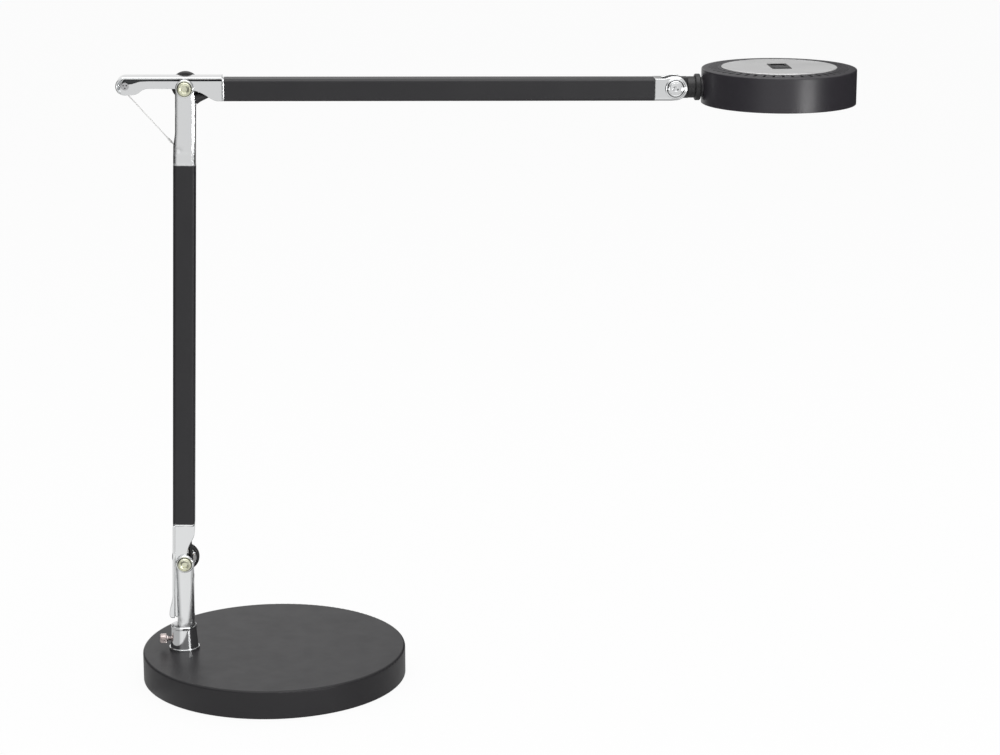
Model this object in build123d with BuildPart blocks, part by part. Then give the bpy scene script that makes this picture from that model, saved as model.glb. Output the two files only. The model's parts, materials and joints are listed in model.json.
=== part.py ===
"""Counterweight balance desk lamp: weighted disc base, swivel post, two spring-balanced arms and a
flat round LED head. Millimetres. +Z is up, the origin is the centre of the base's underside on the
desk, and the upper arm reaches towards +X. The lamp's arms move in the plane y = 0."""

from build123d import *
from math import acos, atan2, cos, degrees, hypot, pi, radians, sin
import os

# ---------------------------------------------------------------- driving dimensions

# pose shown: the lower arm leans forward, the upper arm droops a little
lower_arm_lean = 1.7
upper_arm_droop = 0.5

# base
base_radius = 116.0
base_height = 25.5
base_edge_round = 2.0
cover_wall = 2.5
cover_lift = 0.8
pad_thickness = 3.0
pad_margin = 4.0
weight_gap = 0.5
stem_offset = 79.5
cable_groove_width = 8.0
cable_groove_height = 8.0
inlet_azimuth = 120.0
inlet_radius = 4.5
inlet_length = 12.0
inlet_bore_radius = 2.8
inlet_pin_radius = 1.0
inlet_height = 8.5
cable_lead = 16.0
stem_cable_bend = 4.5

# collar that clamps the stem
collar_height = 21.9
collar_foot_radius = 13.4
collar_foot_height = 2.0
collar_cone_radius = 12.4
collar_neck_radius = 10.8
collar_lip_radius = 11.3
collar_lip_height = 2.6
collar_lip_round = 0.4
collar_seat_depth = 1.3
collar_shank_radius = 11.0
collar_nut_flats = 30.0
collar_nut_height = 5.0
nut_recess_radius = 20.0
nut_recess_ceiling = 14.0
collar_shank_end = 8.0
bush_wall = 1.5
bush_end = 12.0
spigot_radius = 8.0
spigot_end = 9.0
clip_height = 1.0
stem_bore_radius = 3.2
clip_inner_radius = 7.2
clip_outer_radius = 9.2
thumbscrew_height = 34.5
thumbscrew_radius = 2.0
thumbscrew_head_radius = 4.2
thumbscrew_head_length = 6.2
thumbscrew_reach = 21.5
thumbscrew_knurls = 16

# post
lower_pivot_height = 106.0
pivot_forward = 2.7
post_back = 8.2
post_front = 7.7
post_foot_front = 6.9
post_foot_round = 4.4
post_web_top = 14.0
post_floor = 55.0
post_foot_radius = 10.3
post_foot_height = 1.6

# arm joints
eye_radius = 7.8
cheek_half = 9.5
joint_gap_half = 7.3
casting_half = 6.8
casting_cavity_half = 4.6
web_wall = 2.2
corner_round = 3.0
pivot_bolt_radius = 2.5
pivot_sleeve_radius = 3.3
pivot_screw_head_radius = 5.8
pivot_screw_head_height = 3.5
pivot_socket_radius = 2.6
pivot_socket_depth = 2.2
friction_washer_radius = 6.4
knob_radius = 12.0
knob_thickness = 6.5
knob_edge_round = 1.6
knob_flange_thickness = 0.8
knob_insert_radius = 4.5

# arms
lower_arm_length = 418.2
upper_arm_length = 415.0
tube_width = 19.0
tube_wall = 1.5
lower_tube_shift = 1.0
upper_tube_shift = -1.2
spigot_length = 25.0
spigot_wall_gap = 0.2
spigot_corner = 1.5
shoulder_length = 1.5
bore_half_height = 6.6

# lower arm's castings, measured along the arm from their own pivots
lower_tube_start = 36.0
lower_flange_thickness = 1.9
lower_tail_bulge = 2.4
lower_tail_length = 49.7
lower_pin_along = -42.5
lower_pin_side = 3.9
fork_tube_end = 65.2
fork_channel_end = 55.0
fork_flare_start = 36.0
fork_flare_end = 52.0
fork_web_top = 14.0
fork_back = 7.8

# upper arm's castings
upper_tube_start = 33.0
upper_flange = 9.8
upper_flange_thickness = 1.6
club_radius = 7.8
tail_pin_along = -49.7
casting_open_end = 24.0
casting_lower_edge = 0.2
s_curve_start = 8.0
s_curve_end = 29.0
s_curve_shallow = 1.8
front_tube_end = 17.5
front_eye_radius = 10.2
front_cheek_wall = 2.9
front_neck = 3.0
front_slot_depth = 11.0

# balance springs and wires
guide_radius = 3.6
guide_half_width = 3.6
guide_pin_radius = 1.5
anchor_pin_radius = 1.5
anchor_socket_depth = 1.0
wire_radius = 0.4
crimp_radius = 1.0
crimp_length = 4.6
crimp_from_anchor = 7.4
spring_radius = 4.2
spring_wire_radius = 0.7
spring_turns = 8
spring_pitch = 9.0
spring_lift = 2.4
spring_start = 100.0
ferrule_radius = 3.2
ferrule_length = 8.0
rod_radius = 1.2
fork_anchor_along = -51.0
fork_anchor_side = 4.4
post_anchor_along = -52.5
post_anchor_side = 5.4

# cable through the arms
cable_radius = 1.8
cable_side = 4.7
cable_stem_shift = 1.2

# head joint
neck_tongue_half = 6.1
neck_tongue_radius = 8.5
neck_start = 11.0
neck_radius = 9.1
neck_ring_start = 17.4
neck_ring_radius = 11.3
neck_ring_width = 4.5
neck_spigot_radius = 5.5
neck_spigot_end = 44.0
neck_nut_radius = 8.4
neck_nut_width = 4.0
neck_cable_bore_radius = 2.2
head_screw_radius = 3.0
head_screw_head_radius = 6.8
head_screw_head_height = 2.8
head_nut_radius = 5.6

# head
neck_to_head = 1.9
head_rise = 1.2
head_radius = 66.2
head_height = 30.0
head_wall = 2.2
head_edge_round = 1.2
head_rim_drop = 0.6
plate_margin = 17.0
plate_thickness = 1.6
plate_raise = 0.7
plate_seat_width = 3.2
vent_count = 45
vent_gap = 2.8
vent_length = 8.0
vent_width = 2.4
boss_radius = 8.4
boss_depth = 14.0
sink_thickness = 2.5
sink_fin_count = 30
sink_fin_height = 7.0
sink_fin_width = 1.2
sink_fin_inner_radius = 30.0
sink_depth = 11.0
board_margin = 5.2
board_thickness = 1.6
led_count = 24
led_ring_radius = 34.0
led_size = 3.5
led_height = 0.9
board_floor = 11.0
standoff_count = 3
standoff_turn = 60.0
standoff_ring_radius = 25.0
standoff_radius = 3.0
sink_screw_radius = 1.2
sink_screw_length = 10.0
sink_screw_head_radius = 2.4
sink_screw_head_height = 1.4
reflector_wall = 1.2
diffuser_margin = 2.0
diffuser_thickness = 2.0
ring_width = 5.0
ring_height = 1.6
head_ledge_thickness = 1.6
plate_edge_round = 0.3

# rocker switch
switch_width = 16.7
switch_length = 31.0
switch_raise = 0.4
switch_flange = 1.2
switch_depth = 12.0
rocker_width = 11.4
rocker_length = 25.8
rocker_throw = 6.0
rocker_pivot_depth = 3.0
rocker_valley = 3.0
rocker_peak = 4.2
rocker_pin_radius = 1.5
rocker_pin_reach = 0.6
rocker_belly = 6.0
switch_floor = 1.6

# clearances
running = 0.05
seat_gap = 0.1
joint_gap = 0.3

# ---------------------------------------------------------------- places worked out from them

VIEWER = (0, -1, 0)
lean = radians(lower_arm_lean)
droop = radians(upper_arm_droop)

# Each side plane has x along its piece, y towards its flange side and z towards the -Y side.
stem_axis = Vector(-stem_offset, 0, 0)
lower_pivot = stem_axis + Vector(pivot_forward, 0, lower_pivot_height)
post_side = Plane(origin=lower_pivot, x_dir=(0, 0, 1), z_dir=VIEWER)
lower_side = Plane(origin=lower_pivot, x_dir=(sin(lean), 0, cos(lean)), z_dir=VIEWER)
upper_pivot = lower_side.from_local_coords(Vector(lower_arm_length, lower_tube_shift, 0))
fork_side = Plane(origin=upper_pivot, x_dir=lower_side.x_dir, z_dir=VIEWER)
upper_side = Plane(origin=upper_pivot, x_dir=(cos(droop), 0, -sin(droop)), z_dir=VIEWER)
head_pivot = upper_side.from_local_coords(Vector(upper_arm_length, 0, 0))
front_side = Plane(origin=head_pivot, x_dir=upper_side.x_dir, z_dir=VIEWER)
head_side = Plane(origin=head_pivot, x_dir=(1, 0, 0), z_dir=VIEWER)
head_reach = neck_ring_start + neck_ring_width + neck_to_head + head_radius
plate_radius = head_radius - plate_margin
vent_inner_radius = plate_radius + vent_gap
board_radius = plate_radius - board_margin
sink_radius = board_radius
diffuser_radius = head_radius - head_wall - diffuser_margin
head_centre = head_pivot + Vector(head_reach, 0, head_rise)
head_floor = head_centre.Z - head_height / 2
head_ceiling = head_centre.Z + head_height / 2

tube_half = tube_width / 2
tube_bore_half = tube_half - tube_wall
plug_half = tube_bore_half - spigot_wall_gap
collar_top = base_height + collar_height
foot_floor = collar_top - collar_seat_depth + seat_gap
bush_radius = spigot_radius + running + bush_wall
lower_tube_end = lower_arm_length - fork_tube_end
upper_tube_end = upper_arm_length - front_tube_end
lower_flange = tube_half + lower_tube_shift
washer_thickness = joint_gap_half - casting_half - 2 * running


def across(side, along, aside=0.0):
    """Section plane at a distance along a side plane: x towards the flange, y towards the viewer."""
    origin = side.from_local_coords(Vector(along, aside, 0))
    return Plane(origin=origin, x_dir=side.y_dir, z_dir=side.x_dir)


def in_plane(side, other, along, aside):
    """A point given on one side plane, in the coordinates of another."""
    local = other.to_local_coords(side.from_local_coords(Vector(along, aside, 0)))
    return local.X, local.Y


def tangent_points(start, start_radius, end, end_radius, hand):
    """Ends of the straight run of a wire that leaves one round pin and meets another."""
    dx, dy = end[0] - start[0], end[1] - start[1]
    turn = atan2(dy, dx) + hand * acos((start_radius - end_radius) / hypot(dx, dy))
    way = Vector(cos(turn), sin(turn))
    return Vector(*start) + way * start_radius, Vector(*end) + way * end_radius


# ---------------------------------------------------------------- base

with BuildPart() as base_cover:
    with BuildSketch(Plane.XY.offset(cover_lift)):
        Circle(base_radius)
    extrude(amount=base_height - cover_lift)
    fillet(base_cover.faces().sort_by(Axis.Z)[-1].edges(), base_edge_round)
    with BuildSketch(Plane.XY.offset(cover_lift)):
        Circle(base_radius - cover_wall)
    extrude(amount=base_height - cover_lift - cover_wall, mode=Mode.SUBTRACT)
    with BuildSketch(Plane.XY.offset(base_height - cover_wall)):
        with Locations(stem_axis):
            Circle(collar_shank_radius + seat_gap)
    extrude(amount=cover_wall, mode=Mode.SUBTRACT)
    inlet_way = Plane.XY.rotated((0, 0, inlet_azimuth))
    inlet_plane = Plane(
        origin=inlet_way.x_dir * base_radius + Vector(0, 0, inlet_height),
        x_dir=inlet_way.y_dir,
        z_dir=inlet_way.x_dir,
    )
    with BuildSketch(inlet_plane.offset(-inlet_length)):
        Circle(inlet_radius + seat_gap)
    extrude(amount=inlet_length, mode=Mode.SUBTRACT)

weight_radius = base_radius - cover_wall - weight_gap
weight_floor = pad_thickness
weight_top = base_height - cover_wall
with BuildPart() as base_weight:
    with BuildSketch(Plane.XY.offset(weight_floor)):
        Circle(weight_radius)
    extrude(amount=weight_top - weight_floor)
    with BuildSketch(Plane.XY.offset(weight_floor)):
        with Locations(stem_axis):
            Circle(nut_recess_radius)
    extrude(amount=nut_recess_ceiling - weight_floor, mode=Mode.SUBTRACT)
    with BuildSketch(Plane.XY.offset(nut_recess_ceiling)):
        with Locations(stem_axis):
            Circle(collar_shank_radius + seat_gap)
    extrude(amount=weight_top - nut_recess_ceiling, mode=Mode.SUBTRACT)
    # groove on the underside that takes the cable from the inlet to the stem
    groove_start = inlet_way.x_dir * (base_radius - inlet_length - cable_lead)
    groove_run = groove_start - stem_axis
    groove_plane = Plane(
        origin=stem_axis + Vector(0, 0, weight_floor), x_dir=groove_run.normalized(), z_dir=(0, 0, 1)
    )
    with BuildSketch(groove_plane):
        Rectangle(groove_run.length, cable_groove_width, align=(Align.MIN, Align.CENTER))
    extrude(amount=cable_groove_height, mode=Mode.SUBTRACT)
    with BuildSketch(inlet_plane.offset(-inlet_length - cable_lead - inlet_radius)):
        Circle(inlet_radius + 1.0)
    extrude(amount=2 * inlet_length + cable_lead, mode=Mode.SUBTRACT)

with BuildPart() as base_pad:
    with BuildSketch(Plane.XY):
        Circle(weight_radius - pad_margin)
    extrude(amount=pad_thickness)

with BuildPart() as power_inlet:
    with BuildSketch(inlet_plane.offset(-inlet_length)):
        Circle(inlet_radius)
    extrude(amount=inlet_length - 1.0)
    with BuildSketch(inlet_plane.offset(-inlet_length + 2.0)):
        Circle(inlet_bore_radius)
        Circle(inlet_pin_radius, mode=Mode.SUBTRACT)
    extrude(amount=inlet_length, mode=Mode.SUBTRACT)

# ---------------------------------------------------------------- collar and swivel bearing

with BuildPart() as collar:
    with BuildSketch(Plane.XZ.move(Location(stem_axis))):
        with BuildLine():
            Polyline(
                (bush_radius + running, collar_shank_end),
                (collar_shank_radius, collar_shank_end),
                (collar_shank_radius, base_height),
                (collar_foot_radius, base_height),
                (collar_foot_radius, base_height + collar_foot_height),
                (collar_cone_radius, base_height + collar_foot_height),
                (collar_neck_radius, collar_top - collar_lip_height),
                (collar_lip_radius, collar_top - collar_lip_height),
                (collar_lip_radius, collar_top),
                (post_foot_radius + seat_gap, collar_top),
                (post_foot_radius + seat_gap, foot_floor - seat_gap),
                (bush_radius + running, foot_floor - seat_gap),
                close=True,
            )
        make_face()
    revolve(axis=Axis(stem_axis, (0, 0, 1)))
    lip_edges = collar.edges().filter_by(lambda rim: rim.center().Z > collar_top - collar_lip_height - running)
    chamfer(lip_edges.filter_by(lambda rim: rim.length > 2 * pi * collar_neck_radius + 1.0), collar_lip_round)
    thumbscrew_plane = Plane(
        origin=stem_axis + Vector(0, 0, thumbscrew_height), x_dir=(0, 1, 0), z_dir=(-1, 0, 0)
    )
    with BuildSketch(thumbscrew_plane):
        Circle(thumbscrew_radius + running)
    extrude(amount=collar_foot_radius, mode=Mode.SUBTRACT)

with BuildPart() as collar_nut:
    with BuildSketch(Plane.XY.offset(nut_recess_ceiling - collar_nut_height)):
        with Locations(stem_axis):
            RegularPolygon(collar_nut_flats / 2, 6, major_radius=False)
            Circle(collar_shank_radius + running, mode=Mode.SUBTRACT)
    extrude(amount=collar_nut_height)

with BuildPart() as swivel_bush:
    with BuildSketch(Plane.XY.offset(bush_end)):
        with Locations(stem_axis):
            Circle(bush_radius)
            Circle(spigot_radius + running, mode=Mode.SUBTRACT)
    extrude(amount=foot_floor - seat_gap - bush_end)
    with BuildSketch(thumbscrew_plane):
        Circle(thumbscrew_radius + seat_gap)
    extrude(amount=collar_foot_radius, mode=Mode.SUBTRACT)

with BuildPart() as thumbscrew:
    screw_tip = spigot_radius + joint_gap
    head_start = thumbscrew_reach - thumbscrew_head_length
    with BuildSketch(thumbscrew_plane.offset(screw_tip)):
        Circle(thumbscrew_radius)
    extrude(amount=head_start - screw_tip)
    with BuildSketch(thumbscrew_plane.offset(head_start)):
        Circle(thumbscrew_head_radius)
        with PolarLocations(thumbscrew_head_radius, thumbscrew_knurls):
            Circle(0.35, mode=Mode.SUBTRACT)
    extrude(amount=thumbscrew_head_length)

# ---------------------------------------------------------------- post

foot_top = foot_floor + post_foot_height
post_foot_along = foot_top - lower_pivot_height
with BuildPart() as post:
    with BuildSketch(post_side) as post_outline:
        Circle(eye_radius)
        with BuildLine():
            Polyline(
                (0, eye_radius),
                (-post_web_top, post_back),
                (post_foot_along, post_back),
                (post_foot_along, -post_front),
                (-post_web_top, -post_front),
                (0, -eye_radius),
                close=True,
            )
        make_face()
    extrude(amount=cheek_half, both=True)
    # outer corners of the channel are rounded along its length
    with BuildSketch(across(post_side, post_foot_along, (post_back - post_foot_front) / 2)):
        RectangleRounded(post_back + post_foot_front, 2 * cheek_half, post_foot_round)
    with BuildSketch(across(post_side, eye_radius, (post_back - post_front) / 2)):
        RectangleRounded(post_back + post_front, 2 * cheek_half, corner_round)
    loft(mode=Mode.INTERSECT)
    with BuildSketch(post_side):
        with Locations((-post_floor, -post_front + web_wall)):
            Rectangle(post_floor + 2 * eye_radius, 4 * eye_radius, align=Align.MIN)
        with Locations((-post_web_top, 0)):
            Rectangle(4 * eye_radius, 4 * eye_radius, align=(Align.MIN, Align.CENTER))
    extrude(amount=joint_gap_half, both=True, mode=Mode.SUBTRACT)
    # round foot that turns on the collar, and the spigot inside it
    with BuildSketch(Plane.XY.offset(foot_floor)):
        with Locations(stem_axis):
            Circle(post_foot_radius)
    extrude(amount=post_foot_height)
    with BuildSketch(Plane.XY.offset(spigot_end)):
        with Locations(stem_axis):
            Circle(spigot_radius)
    extrude(amount=foot_floor - spigot_end)
    with BuildSketch(Plane.XY.offset(spigot_end)):
        with Locations(stem_axis):
            Circle(stem_bore_radius)
    extrude(amount=lower_pivot_height - post_floor - spigot_end, mode=Mode.SUBTRACT)
    # groove for the retaining clip
    with BuildSketch(Plane.XY.offset(bush_end - clip_height - seat_gap)):
        with Locations(stem_axis):
            Circle(spigot_radius + 1.0)
            Circle(clip_inner_radius - running, mode=Mode.SUBTRACT)
    extrude(amount=clip_height, mode=Mode.SUBTRACT)
    with BuildSketch(post_side):
        Circle(pivot_bolt_radius + running)
    extrude(amount=cheek_half, both=True, mode=Mode.SUBTRACT)
    with BuildSketch(post_side):
        with Locations((post_anchor_along, post_anchor_side)):
            Circle(anchor_pin_radius + running)
    extrude(amount=joint_gap_half + anchor_socket_depth, both=True, mode=Mode.SUBTRACT)

with BuildPart() as post_clip:
    with BuildSketch(Plane.XY.offset(bush_end - clip_height - seat_gap)):
        with Locations(stem_axis):
            Circle(clip_outer_radius)
            Circle(clip_inner_radius, mode=Mode.SUBTRACT)
            with Locations((0, -clip_outer_radius)):
                Rectangle(clip_inner_radius, 2 * clip_outer_radius - clip_inner_radius, mode=Mode.SUBTRACT)
    extrude(amount=clip_height)


def anchor_pin(side, along, aside):
    """Steel cross pin that a balance wire is looped on, held in blind holes of two cheeks."""
    with BuildPart() as pin:
        with BuildSketch(side):
            with Locations((along, aside)):
                Circle(anchor_pin_radius)
        extrude(amount=joint_gap_half + anchor_socket_depth - running, both=True)
    return pin


post_wire_pin = anchor_pin(post_side, post_anchor_along, post_anchor_side)
fork_wire_pin = anchor_pin(fork_side, fork_anchor_along, fork_anchor_side)

# ---------------------------------------------------------------- pivot hardware, one set for each arm joint


def pivot_screw(side, head_face, head_radius_, head_height_, shank_radius, shank_end):
    """Socket head screw whose head sits on the cheek that faces the viewer."""
    with BuildPart() as screw:
        with BuildSketch(side.offset(head_face)):
            Circle(head_radius_)
        extrude(amount=head_height_)
        fillet(screw.faces().sort_by(Axis.Y)[0].edges(), 0.8)
        with BuildSketch(side.offset(head_face + head_height_ - pivot_socket_depth)):
            RegularPolygon(pivot_socket_radius, 6)
        extrude(amount=pivot_socket_depth, mode=Mode.SUBTRACT)
        with BuildSketch(side.offset(head_face)):
            Circle(shank_radius)
        extrude(amount=-head_face - shank_end)
    return screw


def pivot_sleeve(side):
    """Steel sleeve that the screw clamps between the cheeks, and that the casting turns on."""
    with BuildPart() as sleeve:
        with BuildSketch(side):
            Circle(pivot_sleeve_radius)
            Circle(pivot_bolt_radius + running, mode=Mode.SUBTRACT)
        extrude(amount=joint_gap_half - running / 5, both=True)
    return sleeve


def friction_washers(side, sleeve_radius, washer_radius, inner_face, thickness):
    """Two friction washers, one on each side of the piece that turns."""
    with BuildPart() as washers:
        for face in (inner_face, -inner_face - thickness):
            with BuildSketch(side.offset(face)):
                Circle(washer_radius)
                Circle(sleeve_radius + running, mode=Mode.SUBTRACT)
            extrude(amount=thickness)
    return washers


knob_start = cheek_half + knob_flange_thickness + running
knob_end = knob_start + knob_thickness


def friction_knob(side):
    """Plastic hand knob on the joint's far side."""
    with BuildPart() as knob:
        with BuildSketch(side.offset(-knob_end)):
            Circle(knob_radius)
        extrude(amount=knob_thickness)
        fillet(knob.edges(), knob_edge_round)
        with BuildSketch(side.offset(-knob_end)):
            Circle(knob_radius - knob_edge_round)
        extrude(amount=-1.2, taper=25)
        with BuildSketch(side.offset(-knob_start)):
            RegularPolygon(knob_insert_radius + running, 6)
        extrude(amount=-knob_thickness + 1.5, mode=Mode.SUBTRACT)
    return knob


def knob_insert(side):
    """Brass hex insert in the knob, with the flange that bears on the far cheek."""
    with BuildPart() as insert:
        with BuildSketch(side.offset(-cheek_half - running)):
            Circle(eye_radius - joint_gap)
            Circle(pivot_bolt_radius + running, mode=Mode.SUBTRACT)
        extrude(amount=-knob_flange_thickness)
        with BuildSketch(side.offset(-knob_start)):
            RegularPolygon(knob_insert_radius, 6)
            Circle(pivot_bolt_radius + running, mode=Mode.SUBTRACT)
        extrude(amount=-knob_thickness + 1.6)
    return insert


screw_shank_end = knob_end - 2.2
lower_pivot_screw = pivot_screw(
    post_side, cheek_half, pivot_screw_head_radius, pivot_screw_head_height, pivot_bolt_radius, screw_shank_end
)
lower_pivot_sleeve = pivot_sleeve(post_side)
lower_friction_washers = friction_washers(
    post_side, pivot_sleeve_radius, friction_washer_radius, casting_half + running, washer_thickness
)
lower_knob = friction_knob(post_side)
lower_knob_insert = knob_insert(post_side)
upper_pivot_screw = pivot_screw(
    fork_side, cheek_half, pivot_screw_head_radius, pivot_screw_head_height, pivot_bolt_radius, screw_shank_end
)
upper_pivot_sleeve = pivot_sleeve(fork_side)
upper_friction_washers = friction_washers(
    fork_side, pivot_sleeve_radius, friction_washer_radius, casting_half + running, washer_thickness
)
upper_knob = friction_knob(fork_side)
upper_knob_insert = knob_insert(fork_side)

# ---------------------------------------------------------------- castings in the tube ends


def tube_plug(side, start, end, centre):
    """Rounded square plug that fills a tube's end, added to the casting being built."""
    with BuildSketch(across(side, start, centre)) as plug:
        RectangleRounded(2 * plug_half, 2 * plug_half, spigot_corner)
    extrude(plug.sketch, amount=end - start)


with BuildPart() as upper_tail_fitting:
    tube_floor = upper_tube_shift - tube_half
    shoulder = upper_tube_start - shoulder_length
    pin_side = upper_flange - club_radius
    with BuildSketch(upper_side):
        with BuildLine():
            Line((shoulder, upper_flange), (tail_pin_along, upper_flange))
            ThreePointArc(
                (tail_pin_along, upper_flange),
                (tail_pin_along - club_radius, pin_side),
                (tail_pin_along, pin_side - club_radius),
            )
            Spline(
                (tail_pin_along, pin_side - club_radius),
                (tail_pin_along + 10, -4.4),
                (tail_pin_along + 19, -casting_lower_edge),
                tangents=[(1, 0.1), (1, 0)],
            )
            Line((tail_pin_along + 19, -casting_lower_edge), (0, -casting_lower_edge))
            Line((0, -casting_lower_edge), (s_curve_start, -s_curve_shallow))
            Spline(
                (s_curve_start, -s_curve_shallow),
                (s_curve_start / 2 + s_curve_end / 2, tube_floor / 2 - 1.0),
                (s_curve_end, tube_floor),
                tangents=[(1, -0.2), (1, 0)],
            )
            Line((s_curve_end, tube_floor), (shoulder, tube_floor))
            Line((shoulder, tube_floor), (shoulder, upper_flange))
        make_face()
        Circle(friction_washer_radius)
    extrude(amount=casting_half, both=True)
    # flange along the top and round the nose
    rim = club_radius - upper_flange_thickness
    nose_end = radians(230)
    nose = Vector(cos(nose_end), sin(nose_end))
    middle = Vector(cos(radians(160)), sin(radians(160)))
    pin = Vector(tail_pin_along, pin_side)
    with BuildSketch(upper_side):
        with BuildLine():
            Line((shoulder, upper_flange), (tail_pin_along, upper_flange))
            ThreePointArc((tail_pin_along, upper_flange), pin + middle * club_radius, pin + nose * club_radius)
            Line(pin + nose * club_radius, pin + nose * rim)
            ThreePointArc(pin + nose * rim, pin + middle * rim, pin + Vector(0, rim))
            Line(pin + Vector(0, rim), (shoulder, upper_flange - upper_flange_thickness))
            Line((shoulder, upper_flange - upper_flange_thickness), (shoulder, upper_flange))
        make_face()
    extrude(amount=tube_half, both=True)
    # hollow between the side walls, open below, that the wire runs in
    with BuildSketch(upper_side):
        with Locations(pin):
            Circle(rim)
        with Locations(pin - Vector(guide_radius, 0)):
            Rectangle(2 * club_radius, 2 * club_radius, align=(Align.MIN, Align.MAX))
        with Locations((tail_pin_along, upper_flange - upper_flange_thickness)):
            Rectangle(casting_open_end - tail_pin_along, 2 * tube_width, align=(Align.MIN, Align.MAX))
    extrude(amount=casting_cavity_half, both=True, mode=Mode.SUBTRACT)
    # shoulder against the tube, and the plug inside it
    with BuildSketch(across(upper_side, shoulder, upper_tube_shift)):
        RectangleRounded(tube_width, tube_width, corner_round)
    extrude(amount=shoulder_length)
    tube_plug(upper_side, upper_tube_start, upper_tube_start + spigot_length, upper_tube_shift)
    with BuildSketch(across(upper_side, casting_open_end, upper_tube_shift)):
        Rectangle(2 * bore_half_height, 2 * casting_cavity_half)
    extrude(amount=upper_tube_start + spigot_length - casting_open_end, mode=Mode.SUBTRACT)
    with BuildSketch(upper_side):
        Circle(pivot_sleeve_radius + running)
        with Locations(pin):
            Circle(guide_pin_radius + running)
    extrude(amount=casting_half, both=True, mode=Mode.SUBTRACT)
    fillet(upper_tail_fitting.faces().sort_by(Axis(upper_side.origin, upper_side.y_dir))[-1].edges().filter_by(
        Axis(upper_side.origin, upper_side.x_dir)), 0.6)

with BuildPart() as lower_tail_fitting:
    tube_floor = lower_tube_shift - tube_half
    shoulder = lower_tube_start - shoulder_length
    bulge_start = -28.0
    bulge_peak = (-42.5, lower_flange + lower_tail_bulge)
    tail_end = (-lower_tail_length, lower_flange)
    with BuildSketch(lower_side):
        with BuildLine():
            Line((shoulder, lower_flange), (-lower_tail_length + 3, lower_flange))
            Line((-lower_tail_length + 3, lower_flange), (-lower_tail_length, lower_flange - 3))
            Line((-lower_tail_length, lower_flange - 3), (-lower_tail_length, 1.0))
            ThreePointArc(
                (-lower_tail_length, 1.0),
                (-lower_tail_length + 0.5, -casting_lower_edge + 0.5),
                (-lower_tail_length + 1.6, -casting_lower_edge),
            )
            Line((-lower_tail_length + 1.6, -casting_lower_edge), (0, -casting_lower_edge))
            Line((0, -casting_lower_edge), (s_curve_start, -s_curve_shallow))
            Spline(
                (s_curve_start, -s_curve_shallow),
                (s_curve_start / 2 + s_curve_end / 2, tube_floor / 2 - 0.6),
                (s_curve_end, tube_floor),
                tangents=[(1, -0.1), (1, 0)],
            )
            Line((s_curve_end, tube_floor), (shoulder, tube_floor))
            Line((shoulder, tube_floor), (shoulder, lower_flange))
        make_face()
        Circle(friction_washer_radius)
    extrude(amount=casting_half, both=True)
    # flange down the back, swelling into the club that holds the guide
    inner_face = lower_flange - lower_flange_thickness
    with BuildSketch(lower_side):
        with BuildLine():
            Line((shoulder, inner_face), (shoulder, lower_flange))
            Line((shoulder, lower_flange), (bulge_start, lower_flange))
            Spline((bulge_start, lower_flange), bulge_peak, tail_end, tangents=[(-1, 0), (-0.1, -1)])
            Line(tail_end, (-lower_tail_length, inner_face))
            Line((-lower_tail_length, inner_face), (shoulder, inner_face))
        make_face()
    extrude(amount=tube_half, both=True)
    with BuildSketch(lower_side):
        with Locations((casting_open_end, inner_face)):
            Rectangle(2 * lower_tail_length, 2 * tube_width, align=Align.MAX)
    extrude(amount=casting_cavity_half, both=True, mode=Mode.SUBTRACT)
    with BuildSketch(across(lower_side, shoulder, lower_tube_shift)):
        RectangleRounded(tube_width, tube_width, corner_round)
    extrude(amount=shoulder_length)
    tube_plug(lower_side, lower_tube_start, lower_tube_start + spigot_length, lower_tube_shift)
    with BuildSketch(across(lower_side, casting_open_end, lower_tube_shift)):
        Rectangle(2 * bore_half_height, 2 * casting_cavity_half)
    extrude(amount=lower_tube_start + spigot_length - casting_open_end, mode=Mode.SUBTRACT)
    with BuildSketch(lower_side):
        Circle(pivot_sleeve_radius + running)
        with Locations((lower_pin_along, lower_pin_side)):
            Circle(guide_pin_radius + running)
    extrude(amount=casting_half, both=True, mode=Mode.SUBTRACT)

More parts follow.
